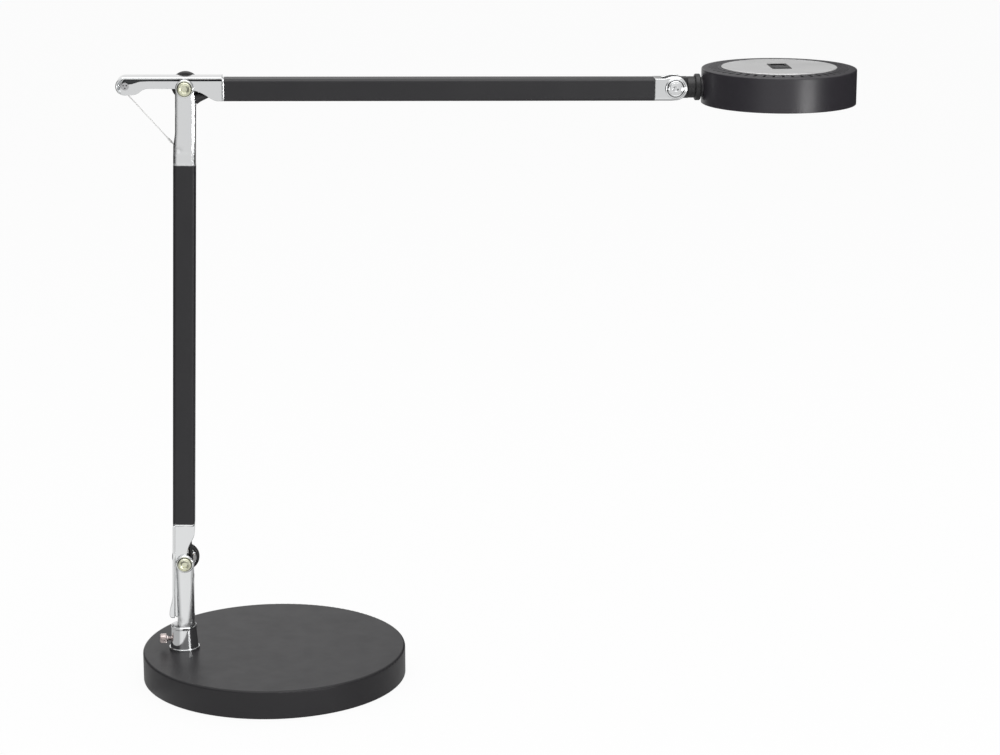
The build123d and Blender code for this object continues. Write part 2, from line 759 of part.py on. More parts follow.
with BuildPart() as lower_fork_fitting:
    tube_face = -fork_tube_end
    with BuildSketch(fork_side):
        Circle(eye_radius)
        with BuildLine():
            Line((0, fork_back), (-fork_flare_start, fork_back))
            Spline(
                (-fork_flare_start, fork_back), (-fork_flare_end, tube_half), tangents=[(-1, 0), (-1, 0)]
            )
            Line((-fork_flare_end, tube_half), (tube_face, tube_half))
            Line((tube_face, tube_half), (tube_face, -tube_half))
            Line((tube_face, -tube_half), (-fork_web_top - 2, -tube_half))
            Spline((-fork_web_top - 2, -tube_half), (0, -eye_radius), tangents=[(1, 0), (1, 0)])
            Line((0, -eye_radius), (0, fork_back))
        make_face()
    extrude(amount=cheek_half, both=True)
    with BuildSketch(across(fork_side, tube_face)):
        RectangleRounded(tube_width, 2 * cheek_half, corner_round)
    extrude(amount=fork_tube_end + 2 * eye_radius, mode=Mode.INTERSECT)
    with BuildSketch(fork_side):
        with Locations((-fork_channel_end, -tube_half + web_wall)):
            Rectangle(fork_channel_end + 2 * eye_radius, 2 * tube_width, align=Align.MIN)
        with Locations((-fork_web_top, 0)):
            Rectangle(4 * eye_radius, 4 * eye_radius, align=(Align.MIN, Align.CENTER))
    extrude(amount=joint_gap_half, both=True, mode=Mode.SUBTRACT)
    tube_plug(fork_side, tube_face - spigot_length, tube_face, 0)
    with BuildSketch(across(fork_side, tube_face - spigot_length)):
        with Locations((-cable_side, 0)):
            Circle(cable_radius + joint_gap)
        with Locations((spring_lift, 0)):
            Circle(rod_radius + running)
    extrude(amount=spigot_length + fork_tube_end - fork_channel_end, mode=Mode.SUBTRACT)
    with BuildSketch(fork_side):
        Circle(pivot_bolt_radius + running)
    extrude(amount=cheek_half, both=True, mode=Mode.SUBTRACT)
    with BuildSketch(fork_side):
        with Locations((fork_anchor_along, fork_anchor_side)):
            Circle(anchor_pin_radius + running)
    extrude(amount=joint_gap_half + anchor_socket_depth, both=True, mode=Mode.SUBTRACT)

with BuildPart() as front_fork:
    tube_face = -front_tube_end
    front_floor = upper_tube_shift - tube_half
    front_gap_half = tube_half - front_cheek_wall
    with BuildSketch(front_side):
        Circle(front_eye_radius)
        with BuildLine():
            Polyline(
                (tube_face, front_floor),
                (-front_neck, front_floor),
                (0, -front_eye_radius),
                (0, front_eye_radius),
                (-front_neck, front_eye_radius),
                (tube_face / 2, front_floor + tube_width),
                (tube_face, front_floor + tube_width),
                close=True,
            )
        make_face()
    extrude(amount=tube_half, both=True)
    with BuildSketch(across(front_side, tube_face, (front_eye_radius + front_floor) / 2)):
        RectangleRounded(front_eye_radius - front_floor, tube_width, corner_round)
    extrude(amount=front_tube_end + front_eye_radius, mode=Mode.INTERSECT)
    with BuildSketch(front_side):
        with Locations((-front_slot_depth, 0)):
            Rectangle(4 * front_eye_radius, 4 * front_eye_radius, align=(Align.MIN, Align.CENTER))
    extrude(amount=front_gap_half, both=True, mode=Mode.SUBTRACT)
    tube_plug(front_side, tube_face - spigot_length, tube_face, upper_tube_shift)
    with BuildSketch(across(front_side, tube_face - spigot_length, upper_tube_shift)):
        with Locations((-cable_side, 0)):
            Circle(cable_radius + joint_gap)
        with Locations((spring_lift, 0)):
            Circle(rod_radius + running)
    extrude(amount=spigot_length + front_tube_end - front_slot_depth, mode=Mode.SUBTRACT)
    with BuildSketch(front_side):
        Circle(head_screw_radius + running)
    extrude(amount=tube_half, both=True, mode=Mode.SUBTRACT)

# ---------------------------------------------------------------- arm tubes


def arm_tube(side, start, end, centre):
    """Square aluminium tube with rounded corners."""
    with BuildPart() as tube:
        with BuildSketch(across(side, start, centre)):
            RectangleRounded(tube_width, tube_width, corner_round)
            RectangleRounded(
                2 * tube_bore_half, 2 * tube_bore_half, corner_round - tube_wall, mode=Mode.SUBTRACT
            )
        extrude(amount=end - start)
    return tube


lower_tube = arm_tube(lower_side, lower_tube_start, lower_tube_end, lower_tube_shift)
upper_tube = arm_tube(upper_side, upper_tube_start, upper_tube_end, upper_tube_shift)

# ---------------------------------------------------------------- balance springs, wires and guides

spring_length = spring_turns * spring_pitch
spring_end = spring_start + spring_length


def balance_spring(side, centre):
    """Extension spring inside the tube, drawn stretched as it is at rest."""
    base = across(side, spring_start, centre)
    coil = Helix(pitch=spring_pitch, height=spring_length, radius=spring_radius)
    coil = base.from_local_coords(coil)
    with BuildPart() as spring:
        with BuildSketch(Plane(origin=coil @ 0, x_dir=base.z_dir, z_dir=coil % 0)):
            RegularPolygon(spring_wire_radius, 4)
        sweep(path=coil, is_frenet=True)
    return spring


def spring_rod(side, centre, end):
    """Plug in the spring's far end, on a rod that runs on to the casting there."""
    with BuildPart() as rod:
        with BuildSketch(across(side, spring_end - ferrule_length, centre)):
            Circle(ferrule_radius)
        extrude(amount=ferrule_length + spring_wire_radius)
        with BuildSketch(across(side, spring_end, centre)):
            Circle(rod_radius)
        extrude(amount=end - spring_end)
    return rod


def wire_run(side, start, end, radius):
    """Straight run of round wire between two points of a side plane, added to the piece being built."""
    way = end - start
    run = Plane(
        origin=side.from_local_coords(start),
        z_dir=side.from_local_coords(end) - side.from_local_coords(start),
    )
    with BuildSketch(run) as section:
        Circle(radius)
    extrude(section.sketch, amount=way.length)


def inner_wire(side, centre, pin_point):
    """Wire from the guide along the arm to the ferrule in the spring's near end."""
    top = pin_point + Vector(0, guide_radius + wire_radius)
    with BuildPart() as wire:
        wire_run(side, top, Vector(spring_start, centre), wire_radius)
        with BuildSketch(across(side, spring_start, centre)):
            Circle(ferrule_radius)
        extrude(amount=ferrule_length)
    return wire


def wire_guide(side, pin_point):
    """Round guide on a cross pin in the tail, that the wire slides over."""
    with BuildPart() as guide:
        with BuildSketch(side):
            with Locations(pin_point):
                Circle(guide_radius)
        extrude(amount=guide_half_width, both=True)
        with BuildSketch(side):
            with Locations(pin_point):
                Circle(guide_pin_radius)
        extrude(amount=casting_half, both=True)
    return guide


upper_spring_line = upper_tube_shift + spring_lift
lower_spring_line = lower_tube_shift + spring_lift
upper_pin = Vector(tail_pin_along, upper_flange - club_radius)
lower_pin = Vector(lower_pin_along, lower_pin_side)
lower_spring = balance_spring(lower_side, lower_spring_line)
upper_spring = balance_spring(upper_side, upper_spring_line)
lower_spring_rod = spring_rod(lower_side, lower_spring_line, lower_tube_end - 2.0)
upper_spring_rod = spring_rod(upper_side, upper_spring_line, upper_tube_end - 2.0)
lower_wire = inner_wire(lower_side, lower_spring_line, lower_pin)
upper_wire = inner_wire(upper_side, upper_spring_line, upper_pin)
lower_wire_guide = wire_guide(lower_side, lower_pin)
upper_wire_guide = wire_guide(upper_side, upper_pin)


def joint_wire(side, pin_point, anchor, crimp):
    """Outer run of a balance wire, from the tail's guide to its anchor pin on the other piece."""
    start, end = tangent_points(
        (pin_point.X, pin_point.Y), guide_radius + wire_radius, anchor, anchor_pin_radius + wire_radius, -1
    )
    way = (end - start).normalized()
    with BuildPart() as wire:
        wire_run(side, start, end, wire_radius)
        if crimp:
            wire_run(side, end - way * (crimp_from_anchor + crimp_length), end - way * crimp_from_anchor, crimp_radius)
    return wire


upper_joint_wire = joint_wire(
    upper_side, upper_pin, in_plane(fork_side, upper_side, fork_anchor_along, fork_anchor_side), True
)

# lower balance wire, from its guide down to the pin in the post
lower_joint_wire = joint_wire(
    lower_side, lower_pin, in_plane(post_side, lower_side, post_anchor_along, post_anchor_side), False
)

# ---------------------------------------------------------------- supply cable, in one length for each piece it runs in


def cable_run(side, points, bends):
    """Round cable along straight runs joined by arcs."""
    with BuildPart() as cable:
        with BuildLine(side) as route:
            FilletPolyline(*points, radius=bends)
        with BuildSketch(Plane(origin=route.wire() @ 0, z_dir=route.wire() % 0)):
            Circle(cable_radius)
        sweep(path=route.wire())
    return cable


def straight_cable(side, start, end, aside):
    """Straight cable along an arm."""
    with BuildPart() as cable:
        with BuildSketch(across(side, start, aside)):
            Circle(cable_radius)
        extrude(amount=end - start)
    return cable


cable_entry = casting_open_end + 6.0
fork_cable_start = -fork_tube_end
lower_cable_line = lower_tube_shift - cable_side
upper_cable_line = upper_tube_shift - cable_side
lower_cable = straight_cable(lower_side, cable_entry, lower_tube_end, lower_cable_line)
upper_cable = straight_cable(upper_side, cable_entry, upper_arm_length - front_slot_depth - 1.0, upper_cable_line)

# free loop over the fork's web and up into the upper arm's casting
upper_joint_cable = cable_run(
    upper_side,
    [
        in_plane(fork_side, upper_side, fork_cable_start, -cable_side),
        in_plane(fork_side, upper_side, -fork_web_top + 2.4, -cable_side),
        in_plane(fork_side, upper_side, -fork_web_top + 5.0, -tube_half - 1.6),
        (15.0, -8.4),
        (casting_open_end - 1.0, upper_cable_line),
        (cable_entry, upper_cable_line),
    ],
    [4.0, 8.0, 8.0, 8.0],
)

# up the post in front of the tail, past the pivot and into the lower arm's casting
stem_cable_aside = pivot_forward - cable_stem_shift
lower_joint_cable = cable_run(
    lower_side,
    [
        in_plane(post_side, lower_side, -post_floor - 4.0, stem_cable_aside),
        in_plane(post_side, lower_side, -post_floor + 1.0, stem_cable_aside),
        in_plane(post_side, lower_side, -38.0, -3.2),
        in_plane(post_side, lower_side, -16.0, -3.4),
        (0.0, -6.0),
        (casting_open_end - 8.0, lower_cable_line),
        (cable_entry, lower_cable_line),
    ],
    [9.0, 20.0, 20.0, 20.0, 12.0],
)

# along the groove under the weight and up through the hollow spigot
stem_cable_height = lower_pivot_height - post_floor - 4.0
groove_height = weight_floor + cable_radius + joint_gap
with BuildPart() as stem_cable:
    with BuildLine() as stem_route:
        FilletPolyline(
            inlet_way.x_dir * (base_radius - inlet_length) + Vector(0, 0, inlet_height),
            groove_start + Vector(0, 0, inlet_height),
            stem_axis + groove_run * 0.6 + Vector(0, 0, groove_height),
            stem_axis + Vector(0, 0, groove_height),
            stem_axis + Vector(0, 0, stem_cable_height),
            radius=[14.0, 40.0, stem_cable_bend],
        )
    with BuildSketch(Plane(origin=stem_route.wire() @ 0, z_dir=stem_route.wire() % 0)):
        Circle(cable_radius)
    sweep(path=stem_route.wire())

# ---------------------------------------------------------------- head joint

head_screw_face = tube_half
head_pivot_screw = pivot_screw(
    front_side, head_screw_face, head_screw_head_radius, head_screw_head_height, head_screw_radius, tube_half + 5.0
)

with BuildPart() as head_pivot_nut:
    with BuildSketch(front_side.offset(-tube_half)):
        RegularPolygon(head_nut_radius, 6, major_radius=False)
        Circle(head_screw_radius + running, mode=Mode.SUBTRACT)
    extrude(amount=-4.0)

head_gap_half = tube_half - front_cheek_wall
head_washer_thickness = head_gap_half - neck_tongue_half - 2 * running
head_friction_washers = friction_washers(
    front_side, head_screw_radius, neck_tongue_radius - joint_gap, neck_tongue_half + running, head_washer_thickness
)

with BuildPart() as neck_knuckle:
    with BuildSketch(head_side):
        Circle(neck_tongue_radius)
        Rectangle(neck_start, 2 * neck_tongue_radius, align=(Align.MIN, Align.CENTER))
    extrude(amount=neck_tongue_half, both=True)
    with BuildSketch(across(head_side, neck_start)):
        Circle(neck_radius)
    extrude(amount=neck_ring_start - neck_start)
    with BuildSketch(across(head_side, neck_ring_start)):
        Circle(neck_spigot_radius)
    extrude(amount=neck_spigot_end - neck_ring_start)
    with BuildSketch(across(head_side, 0)):
        with Locations((0, 0)):
            Circle(neck_cable_bore_radius)
    extrude(amount=neck_spigot_end, mode=Mode.SUBTRACT)
    with BuildSketch(head_side):
        Circle(head_screw_radius + running)
    extrude(amount=neck_tongue_half, both=True, mode=Mode.SUBTRACT)

with BuildPart() as neck_ring:
    with BuildSketch(across(head_side, neck_ring_start)):
        Circle(neck_ring_radius)
        Circle(neck_spigot_radius + running, mode=Mode.SUBTRACT)
    extrude(amount=neck_ring_width)
    chamfer(neck_ring.edges().filter_by(lambda rim: rim.length > 2 * pi * neck_ring_radius - 1), 0.6)

boss_start = neck_ring_start + neck_ring_width + running
boss_end = head_reach - head_radius + boss_depth
with BuildPart() as neck_nut:
    with BuildSketch(across(head_side, boss_end + running)):
        RegularPolygon(neck_nut_radius, 6)
        Circle(neck_spigot_radius + running, mode=Mode.SUBTRACT)
    extrude(amount=neck_nut_width)

# ---------------------------------------------------------------- head

plate_floor = head_height + plate_raise - plate_thickness
ledge_floor = plate_floor - head_ledge_thickness
head_bore_radius = head_radius - head_wall
with BuildPart() as head_housing:
    with BuildSketch(Plane(origin=(head_centre.X, 0, head_floor), x_dir=(1, 0, 0), z_dir=VIEWER)):
        with BuildLine():
            Line((head_bore_radius, 0), (head_radius, 0))
            Line((head_radius, 0), (head_radius, head_height - head_rim_drop - head_edge_round))
            RadiusArc(
                (head_radius, head_height - head_rim_drop - head_edge_round),
                (head_radius - head_edge_round, head_height - head_rim_drop),
                -head_edge_round,
            )
            Polyline(
                (head_radius - head_edge_round, head_height - head_rim_drop),
                (plate_radius + seat_gap, head_height),
                (plate_radius + seat_gap, plate_floor),
                (plate_radius - plate_seat_width, plate_floor),
                (plate_radius - plate_seat_width, ledge_floor),
                (head_bore_radius, ledge_floor),
                (head_bore_radius, 0),
            )
        make_face()
    revolve(axis=Axis((head_centre.X, 0, 0), (0, 0, 1)))
    # boss that the neck turns in, through the side wall
    with BuildSketch(across(head_side, boss_start)):
        Circle(boss_radius)
    extrude(amount=boss_end - boss_start)
    with BuildSketch(across(head_side, boss_start)):
        Circle(neck_spigot_radius + running)
    extrude(amount=boss_end - boss_start, mode=Mode.SUBTRACT)
    # ring of cooling slots round the plate
    with BuildSketch(Plane(origin=(head_centre.X, 0, head_floor + ledge_floor))):
        with PolarLocations(vent_inner_radius + vent_length / 2, vent_count):
            Rectangle(vent_length, vent_width)
    extrude(amount=head_height, mode=Mode.SUBTRACT)

head_plan = Plane(origin=(head_centre.X, 0, head_floor))
switch_opening = (switch_width - 2 * switch_flange, switch_length - 2 * switch_flange)
sink_top = board_floor + board_thickness + sink_thickness
with BuildPart() as top_plate:
    with BuildSketch(head_plan.offset(plate_floor)):
        Circle(plate_radius)
    extrude(amount=plate_thickness)
    chamfer(top_plate.faces().sort_by(Axis.Z)[-1].edges(), plate_edge_round)
    with BuildSketch(head_plan.offset(sink_top)):
        with PolarLocations(standoff_ring_radius, standoff_count, start_angle=standoff_turn):
            Circle(standoff_radius)
            Circle(sink_screw_radius + running, mode=Mode.SUBTRACT)
    extrude(amount=plate_floor - sink_top)
    with BuildSketch(head_plan.offset(plate_floor)):
        Rectangle(*switch_opening)
    extrude(amount=plate_thickness, mode=Mode.SUBTRACT)

with BuildPart() as heat_sink:
    with BuildSketch(head_plan.offset(board_floor + board_thickness)):
        Circle(sink_radius)
    extrude(amount=sink_thickness)
    with BuildSketch(head_plan.offset(sink_top)):
        with PolarLocations((sink_radius + sink_fin_inner_radius) / 2, sink_fin_count):
            Rectangle(sink_radius - sink_fin_inner_radius - 1.0, sink_fin_width)
    extrude(amount=sink_fin_height)
    with BuildSketch(head_plan.offset(board_floor + board_thickness)):
        with PolarLocations(standoff_ring_radius, standoff_count, start_angle=standoff_turn):
            Circle(sink_screw_radius + running)
    extrude(amount=sink_thickness, mode=Mode.SUBTRACT)

with BuildPart() as led_board:
    with BuildSketch(head_plan.offset(board_floor)):
        Circle(board_radius)
        with PolarLocations(standoff_ring_radius, standoff_count, start_angle=standoff_turn):
            Circle(sink_screw_radius + running, mode=Mode.SUBTRACT)
    extrude(amount=board_thickness)

with BuildPart() as leds:
    with BuildSketch(head_plan.offset(board_floor - led_height)):
        with PolarLocations(led_ring_radius, led_count):
            Rectangle(led_size, led_size)
    extrude(amount=led_height)

with BuildPart() as sink_screws:
    with BuildSketch(head_plan.offset(board_floor - sink_screw_head_height)):
        with PolarLocations(standoff_ring_radius, standoff_count, start_angle=standoff_turn):
            Circle(sink_screw_head_radius)
    extrude(amount=sink_screw_head_height)
    with BuildSketch(head_plan.offset(board_floor)):
        with PolarLocations(standoff_ring_radius, standoff_count, start_angle=standoff_turn):
            Circle(sink_screw_radius)
    extrude(amount=sink_screw_length)

diffuser_top = ring_height + diffuser_thickness
with BuildPart() as reflector:
    with BuildSketch(Plane(origin=(head_centre.X, 0, head_floor), x_dir=(1, 0, 0), z_dir=VIEWER)):
        with BuildLine():
            Polyline(
                (diffuser_radius - 2.0, diffuser_top),
                (diffuser_radius, diffuser_top),
                (board_radius + seat_gap + reflector_wall, board_floor + board_thickness),
                (board_radius + seat_gap, board_floor + board_thickness),
                (board_radius + seat_gap, board_floor - 1.0),
                close=True,
            )
        make_face()
    revolve(axis=Axis((head_centre.X, 0, 0), (0, 0, 1)))
    with BuildSketch(across(head_side, boss_start)):
        Rectangle(2 * boss_radius + 2 * joint_gap, 2 * boss_radius + 2 * joint_gap)
    extrude(amount=boss_end + neck_nut_width + 3.0 - boss_start, mode=Mode.SUBTRACT)

with BuildPart() as diffuser:
    with BuildSketch(head_plan.offset(ring_height)):
        Circle(diffuser_radius)
    extrude(amount=diffuser_thickness)

with BuildPart() as diffuser_ring:
    with BuildSketch(head_plan):
        Circle(head_bore_radius - seat_gap)
        Circle(head_bore_radius - seat_gap - ring_width, mode=Mode.SUBTRACT)
    extrude(amount=ring_height)
    with BuildSketch(head_plan.offset(ring_height)):
        Circle(head_bore_radius - seat_gap)
        Circle(diffuser_radius + seat_gap, mode=Mode.SUBTRACT)
    extrude(amount=diffuser_thickness)
    with BuildSketch(across(head_side, boss_start)):
        Circle(boss_radius + joint_gap)
    extrude(amount=boss_end - boss_start, mode=Mode.SUBTRACT)

# ---------------------------------------------------------------- rocker switch in the top plate

plate_top = head_floor + head_height + plate_raise
opening_width = rocker_width + 2 * joint_gap
opening_length = rocker_length + 2 * joint_gap
switch_plan = Plane(origin=(head_centre.X, 0, plate_top))
rocker_axis_point = Vector(head_centre.X, 0, plate_top - rocker_pivot_depth)
with BuildPart() as switch_frame:
    with BuildSketch(switch_plan):
        RectangleRounded(switch_width, switch_length, 0.8)
    extrude(amount=switch_raise)
    with BuildSketch(switch_plan.offset(-switch_depth)):
        Rectangle(switch_opening[0] - 2 * seat_gap, switch_opening[1] - 2 * seat_gap)
    extrude(amount=switch_depth)
    with BuildSketch(switch_plan.offset(-switch_depth + switch_floor)):
        Rectangle(opening_width, opening_length)
    extrude(amount=switch_depth + switch_raise, mode=Mode.SUBTRACT)
    with BuildSketch(Plane(origin=rocker_axis_point, x_dir=(0, 1, 0), z_dir=(1, 0, 0))):
        Circle(rocker_pin_radius + running)
    extrude(amount=opening_width / 2 + rocker_pin_reach, both=True, mode=Mode.SUBTRACT)

rocker_tilt = radians(rocker_throw)
rocker_side = Plane(
    origin=rocker_axis_point, x_dir=(0, cos(rocker_tilt), -sin(rocker_tilt)), z_dir=(1, 0, 0)
)
with BuildPart() as switch_rocker:
    with BuildSketch(rocker_side):
        with BuildLine():
            Polyline(
                (-rocker_length, rocker_peak),
                (0, rocker_valley),
                (rocker_length, rocker_peak),
                (rocker_length, -1.0),
                (0, -rocker_belly),
                (-rocker_length, -1.0),
                close=True,
            )
        make_face()
        Circle(rocker_length / 2, mode=Mode.INTERSECT)
    extrude(amount=rocker_width / 2, both=True)
    with BuildSketch(rocker_side):
        Circle(rocker_pin_radius)
    extrude(amount=opening_width / 2 + rocker_pin_reach - seat_gap, both=True)

# ---------------------------------------------------------------- one file for each piece

pieces = {
    "base_cover": base_cover,
    "base_weight": base_weight,
    "base_pad": base_pad,
    "power_inlet": power_inlet,
    "stem_cable": stem_cable,
    "collar": collar,
    "collar_nut": collar_nut,
    "swivel_bush": swivel_bush,
    "thumbscrew": thumbscrew,
    "post": post,
    "post_clip": post_clip,
    "lower_wire_anchor": post_wire_pin,
    "lower_pivot_screw": lower_pivot_screw,
    "lower_pivot_sleeve": lower_pivot_sleeve,
    "lower_friction_washers": lower_friction_washers,
    "lower_friction_knob": lower_knob,
    "lower_knob_insert": lower_knob_insert,
    "lower_tail_fitting": lower_tail_fitting,
    "lower_tube": lower_tube,
    "lower_fork_fitting": lower_fork_fitting,
    "lower_spring": lower_spring,
    "lower_spring_rod": lower_spring_rod,
    "lower_wire_guide": lower_wire_guide,
    "lower_balance_wire": lower_wire,
    "lower_joint_wire": lower_joint_wire,
    "lower_joint_cable": lower_joint_cable,
    "lower_cable": lower_cable,
    "upper_wire_anchor": fork_wire_pin,
    "upper_pivot_screw": upper_pivot_screw,
    "upper_pivot_sleeve": upper_pivot_sleeve,
    "upper_friction_washers": upper_friction_washers,
    "upper_friction_knob": upper_knob,
    "upper_knob_insert": upper_knob_insert,
    "upper_tail_fitting": upper_tail_fitting,
    "upper_tube": upper_tube,
    "front_fork": front_fork,
    "upper_spring": upper_spring,
    "upper_spring_rod": upper_spring_rod,
    "upper_wire_guide": upper_wire_guide,
    "upper_balance_wire": upper_wire,
    "upper_joint_wire": upper_joint_wire,
    "upper_joint_cable": upper_joint_cable,
    "upper_cable": upper_cable,
    "head_pivot_screw": head_pivot_screw,
    "head_pivot_nut": head_pivot_nut,
    "head_friction_washers": head_friction_washers,
    "neck_knuckle": neck_knuckle,
    "neck_ring": neck_ring,
    "neck_nut": neck_nut,
    "head_housing": head_housing,
    "top_plate": top_plate,
    "heat_sink": heat_sink,
    "led_board": led_board,
    "leds": leds,
    "reflector": reflector,
    "diffuser": diffuser,
    "diffuser_ring": diffuser_ring,
    "switch_frame": switch_frame,
    "switch_rocker": switch_rocker,
    "sink_screws": sink_screws,
}

os.makedirs("parts", exist_ok=True)
for name, piece in pieces.items():
    piece.part.label = name
    export_step(piece.part, f"parts/{name}.step")
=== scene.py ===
"""Looks of the counterweight balance desk lamp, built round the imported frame. Metres, +Z up."""

import json
import math

import bmesh
import bpy
from mathutils import Matrix, Vector


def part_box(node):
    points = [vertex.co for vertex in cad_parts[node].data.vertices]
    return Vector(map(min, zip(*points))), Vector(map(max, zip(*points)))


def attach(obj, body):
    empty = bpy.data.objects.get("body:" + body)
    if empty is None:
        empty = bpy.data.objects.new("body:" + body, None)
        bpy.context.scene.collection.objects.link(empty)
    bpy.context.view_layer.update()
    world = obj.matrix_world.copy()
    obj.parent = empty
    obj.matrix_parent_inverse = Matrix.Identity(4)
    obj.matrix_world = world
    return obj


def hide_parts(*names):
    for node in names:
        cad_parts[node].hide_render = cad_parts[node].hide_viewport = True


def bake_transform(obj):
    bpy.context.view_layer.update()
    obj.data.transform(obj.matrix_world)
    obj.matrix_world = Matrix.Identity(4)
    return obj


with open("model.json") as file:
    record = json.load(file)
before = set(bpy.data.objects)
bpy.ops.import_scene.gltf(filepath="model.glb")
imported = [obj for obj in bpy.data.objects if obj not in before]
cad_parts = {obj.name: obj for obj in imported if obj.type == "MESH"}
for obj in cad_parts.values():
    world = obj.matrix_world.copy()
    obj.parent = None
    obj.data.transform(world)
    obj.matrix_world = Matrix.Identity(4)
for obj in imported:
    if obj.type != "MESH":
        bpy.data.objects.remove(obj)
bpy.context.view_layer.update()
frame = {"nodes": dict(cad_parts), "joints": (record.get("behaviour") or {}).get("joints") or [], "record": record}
nodes = frame["nodes"]
joints = {joint["name"]: joint for joint in frame["joints"]}
MM = 0.001

# sockets of Blender's Mix node when it mixes colours
MIX_SHARE, MIX_FIRST, MIX_SECOND, MIX_RESULT = 0, 6, 7, 2
BEVEL_SAMPLES = 6
# points closer than this, in metres, are one point
WELD_DISTANCE = 1e-7


# ---------------------------------------------------------------- small helpers


def joint_point(name):
    """A joint's position at rest."""
    return Vector(joints[name]["pos_m"])


def middle(node):
    """Centre of a node's box at rest."""
    low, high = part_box(node)
    return (Vector(low) + Vector(high)) / 2


def new_mesh(name, verts, faces, smooth=True):
    """Mesh object from plain lists, in the row frame."""
    mesh = bpy.data.meshes.new(name)
    mesh.from_pydata([tuple(v) for v in verts], [], faces)
    mesh.validate()
    mesh.update()
    for polygon in mesh.polygons:
        polygon.use_smooth = smooth
    piece = bpy.data.objects.new(name, mesh)
    bpy.context.scene.collection.objects.link(piece)
    return piece


def ring_faces(rings, row):
    """Quads that join each ring of points to the next."""
    faces = []
    for ring in range(rings - 1):
        for side in range(row):
            first, second = ring * row + side, ring * row + (side + 1) % row
            faces.append((first, second, second + row, first + row))
    return faces


def end_faces(rings, row):
    """Flat faces that close the first and the last ring of points."""
    last = (rings - 1) * row
    return [tuple(reversed(range(row))), tuple(range(last, last + row))]


def weld(piece):
    """Merges points that coincide, as at the ends of a turned profile."""
    shape = bmesh.new()
    shape.from_mesh(piece.data)
    bmesh.ops.remove_doubles(shape, verts=shape.verts, dist=WELD_DISTANCE)
    bmesh.ops.recalc_face_normals(shape, faces=shape.faces)
    shape.to_mesh(piece.data)
    shape.free()


# ---------------------------------------------------------------- materials


class Shader:
    """One procedural material: a Principled shader with named inputs and helper nodes."""

    def __init__(self, name, color, roughness, metallic=0.0, **sockets):
        self.material = bpy.data.materials.new(name)
        self.material.use_nodes = True
        self.tree = self.material.node_tree
        self.shader = self.tree.nodes["Principled BSDF"]
        self.set("Base Color", (*color, 1.0))
        self.set("Roughness", roughness)
        self.set("Metallic", metallic)
        for socket, value in sockets.items():
            self.set(socket.replace("_", " "), value)
        self.coordinates = self.node("ShaderNodeTexCoord").outputs["Object"]
        self.normal = None

    def node(self, kind, **settings):
        made = self.tree.nodes.new(kind)
        for key, value in settings.items():
            setattr(made, key, value)
        return made

    def link(self, start, end):
        self.tree.links.new(start, end)

    def set(self, socket, value):
        self.shader.inputs[socket].default_value = value

    def noise(self, scale, detail=3.0, stretch=(1.0, 1.0, 1.0)):
        """Noise with a number of features per metre, stretched along an axis where asked."""
        mapping = self.node("ShaderNodeMapping")
        mapping.inputs["Scale"].default_value = stretch
        self.link(self.coordinates, mapping.inputs["Vector"])
        texture = self.node("ShaderNodeTexNoise")
        texture.inputs["Scale"].default_value = scale
        texture.inputs["Detail"].default_value = detail
        self.link(mapping.outputs["Vector"], texture.inputs["Vector"])
        return texture.outputs["Fac"]

    def ramp(self, value, low, high, start=0.3, end=0.7):
        """Maps a texture value to a range for a socket."""
        span = self.node("ShaderNodeMapRange")
        span.inputs["From Min"].default_value = start
        span.inputs["From Max"].default_value = end
        span.inputs["To Min"].default_value = low
        span.inputs["To Max"].default_value = high
        self.link(value, span.inputs["Value"])
        return span.outputs["Result"]

    def vary_roughness(self, value, low, high):
        """Lets a texture move the roughness between two values."""
        self.link(self.ramp(value, low, high), self.shader.inputs["Roughness"])

    def vary_color(self, value, first, second):
        """Lets a texture move the colour between two colours."""
        mix = self.node("ShaderNodeMix", data_type="RGBA")
        mix.inputs[MIX_FIRST].default_value = (*first, 1.0)
        mix.inputs[MIX_SECOND].default_value = (*second, 1.0)
        self.link(self.ramp(value, 0.0, 1.0), mix.inputs[MIX_SHARE])
        self.link(mix.outputs[MIX_RESULT], self.shader.inputs["Base Color"])

    def bevel(self, radius):
        """Softens sharp edges in the shading."""
        soft = self.node("ShaderNodeBevel", samples=BEVEL_SAMPLES)
        soft.inputs["Radius"].default_value = radius
        self.normal = soft.outputs["Normal"]
        self.link(self.normal, self.shader.inputs["Normal"])

    def bump(self, value, distance, strength=1.0):
        """Relief of a texture, at a distance in metres."""
        relief = self.node("ShaderNodeBump")
        relief.inputs["Distance"].default_value = distance
        relief.inputs["Strength"].default_value = strength
        self.link(value, relief.inputs["Height"])
        if self.normal:
            self.link(self.normal, relief.inputs["Normal"])
        self.normal = relief.outputs["Normal"]
        self.link(self.normal, self.shader.inputs["Normal"])


def powder_coat():
    """Satin black powder coat with a very fine orange peel."""
    coat = Shader("powder_coat", color=(0.020, 0.0192, 0.021), roughness=0.36, IOR=1.34)
    coat.bevel(1.2 * MM)
    coat.vary_roughness(coat.noise(scale=60.0), low=0.34, high=0.39)
    coat.bump(coat.noise(scale=1400.0, detail=2.0), distance=0.02 * MM, strength=0.35)
    return coat.material


def anodised_black():
    """Matte black anodised aluminium, very slightly uneven in tone."""
    skin = Shader("anodised_black", color=(0.018, 0.0175, 0.0195), roughness=0.40, IOR=1.44)
    skin.bevel(0.8 * MM)
    skin.vary_color(skin.noise(scale=25.0), first=(0.0165, 0.016, 0.018), second=(0.0195, 0.019, 0.021))
    skin.bump(skin.noise(scale=900.0, detail=2.0), distance=0.01 * MM, strength=0.4)
    return skin.material


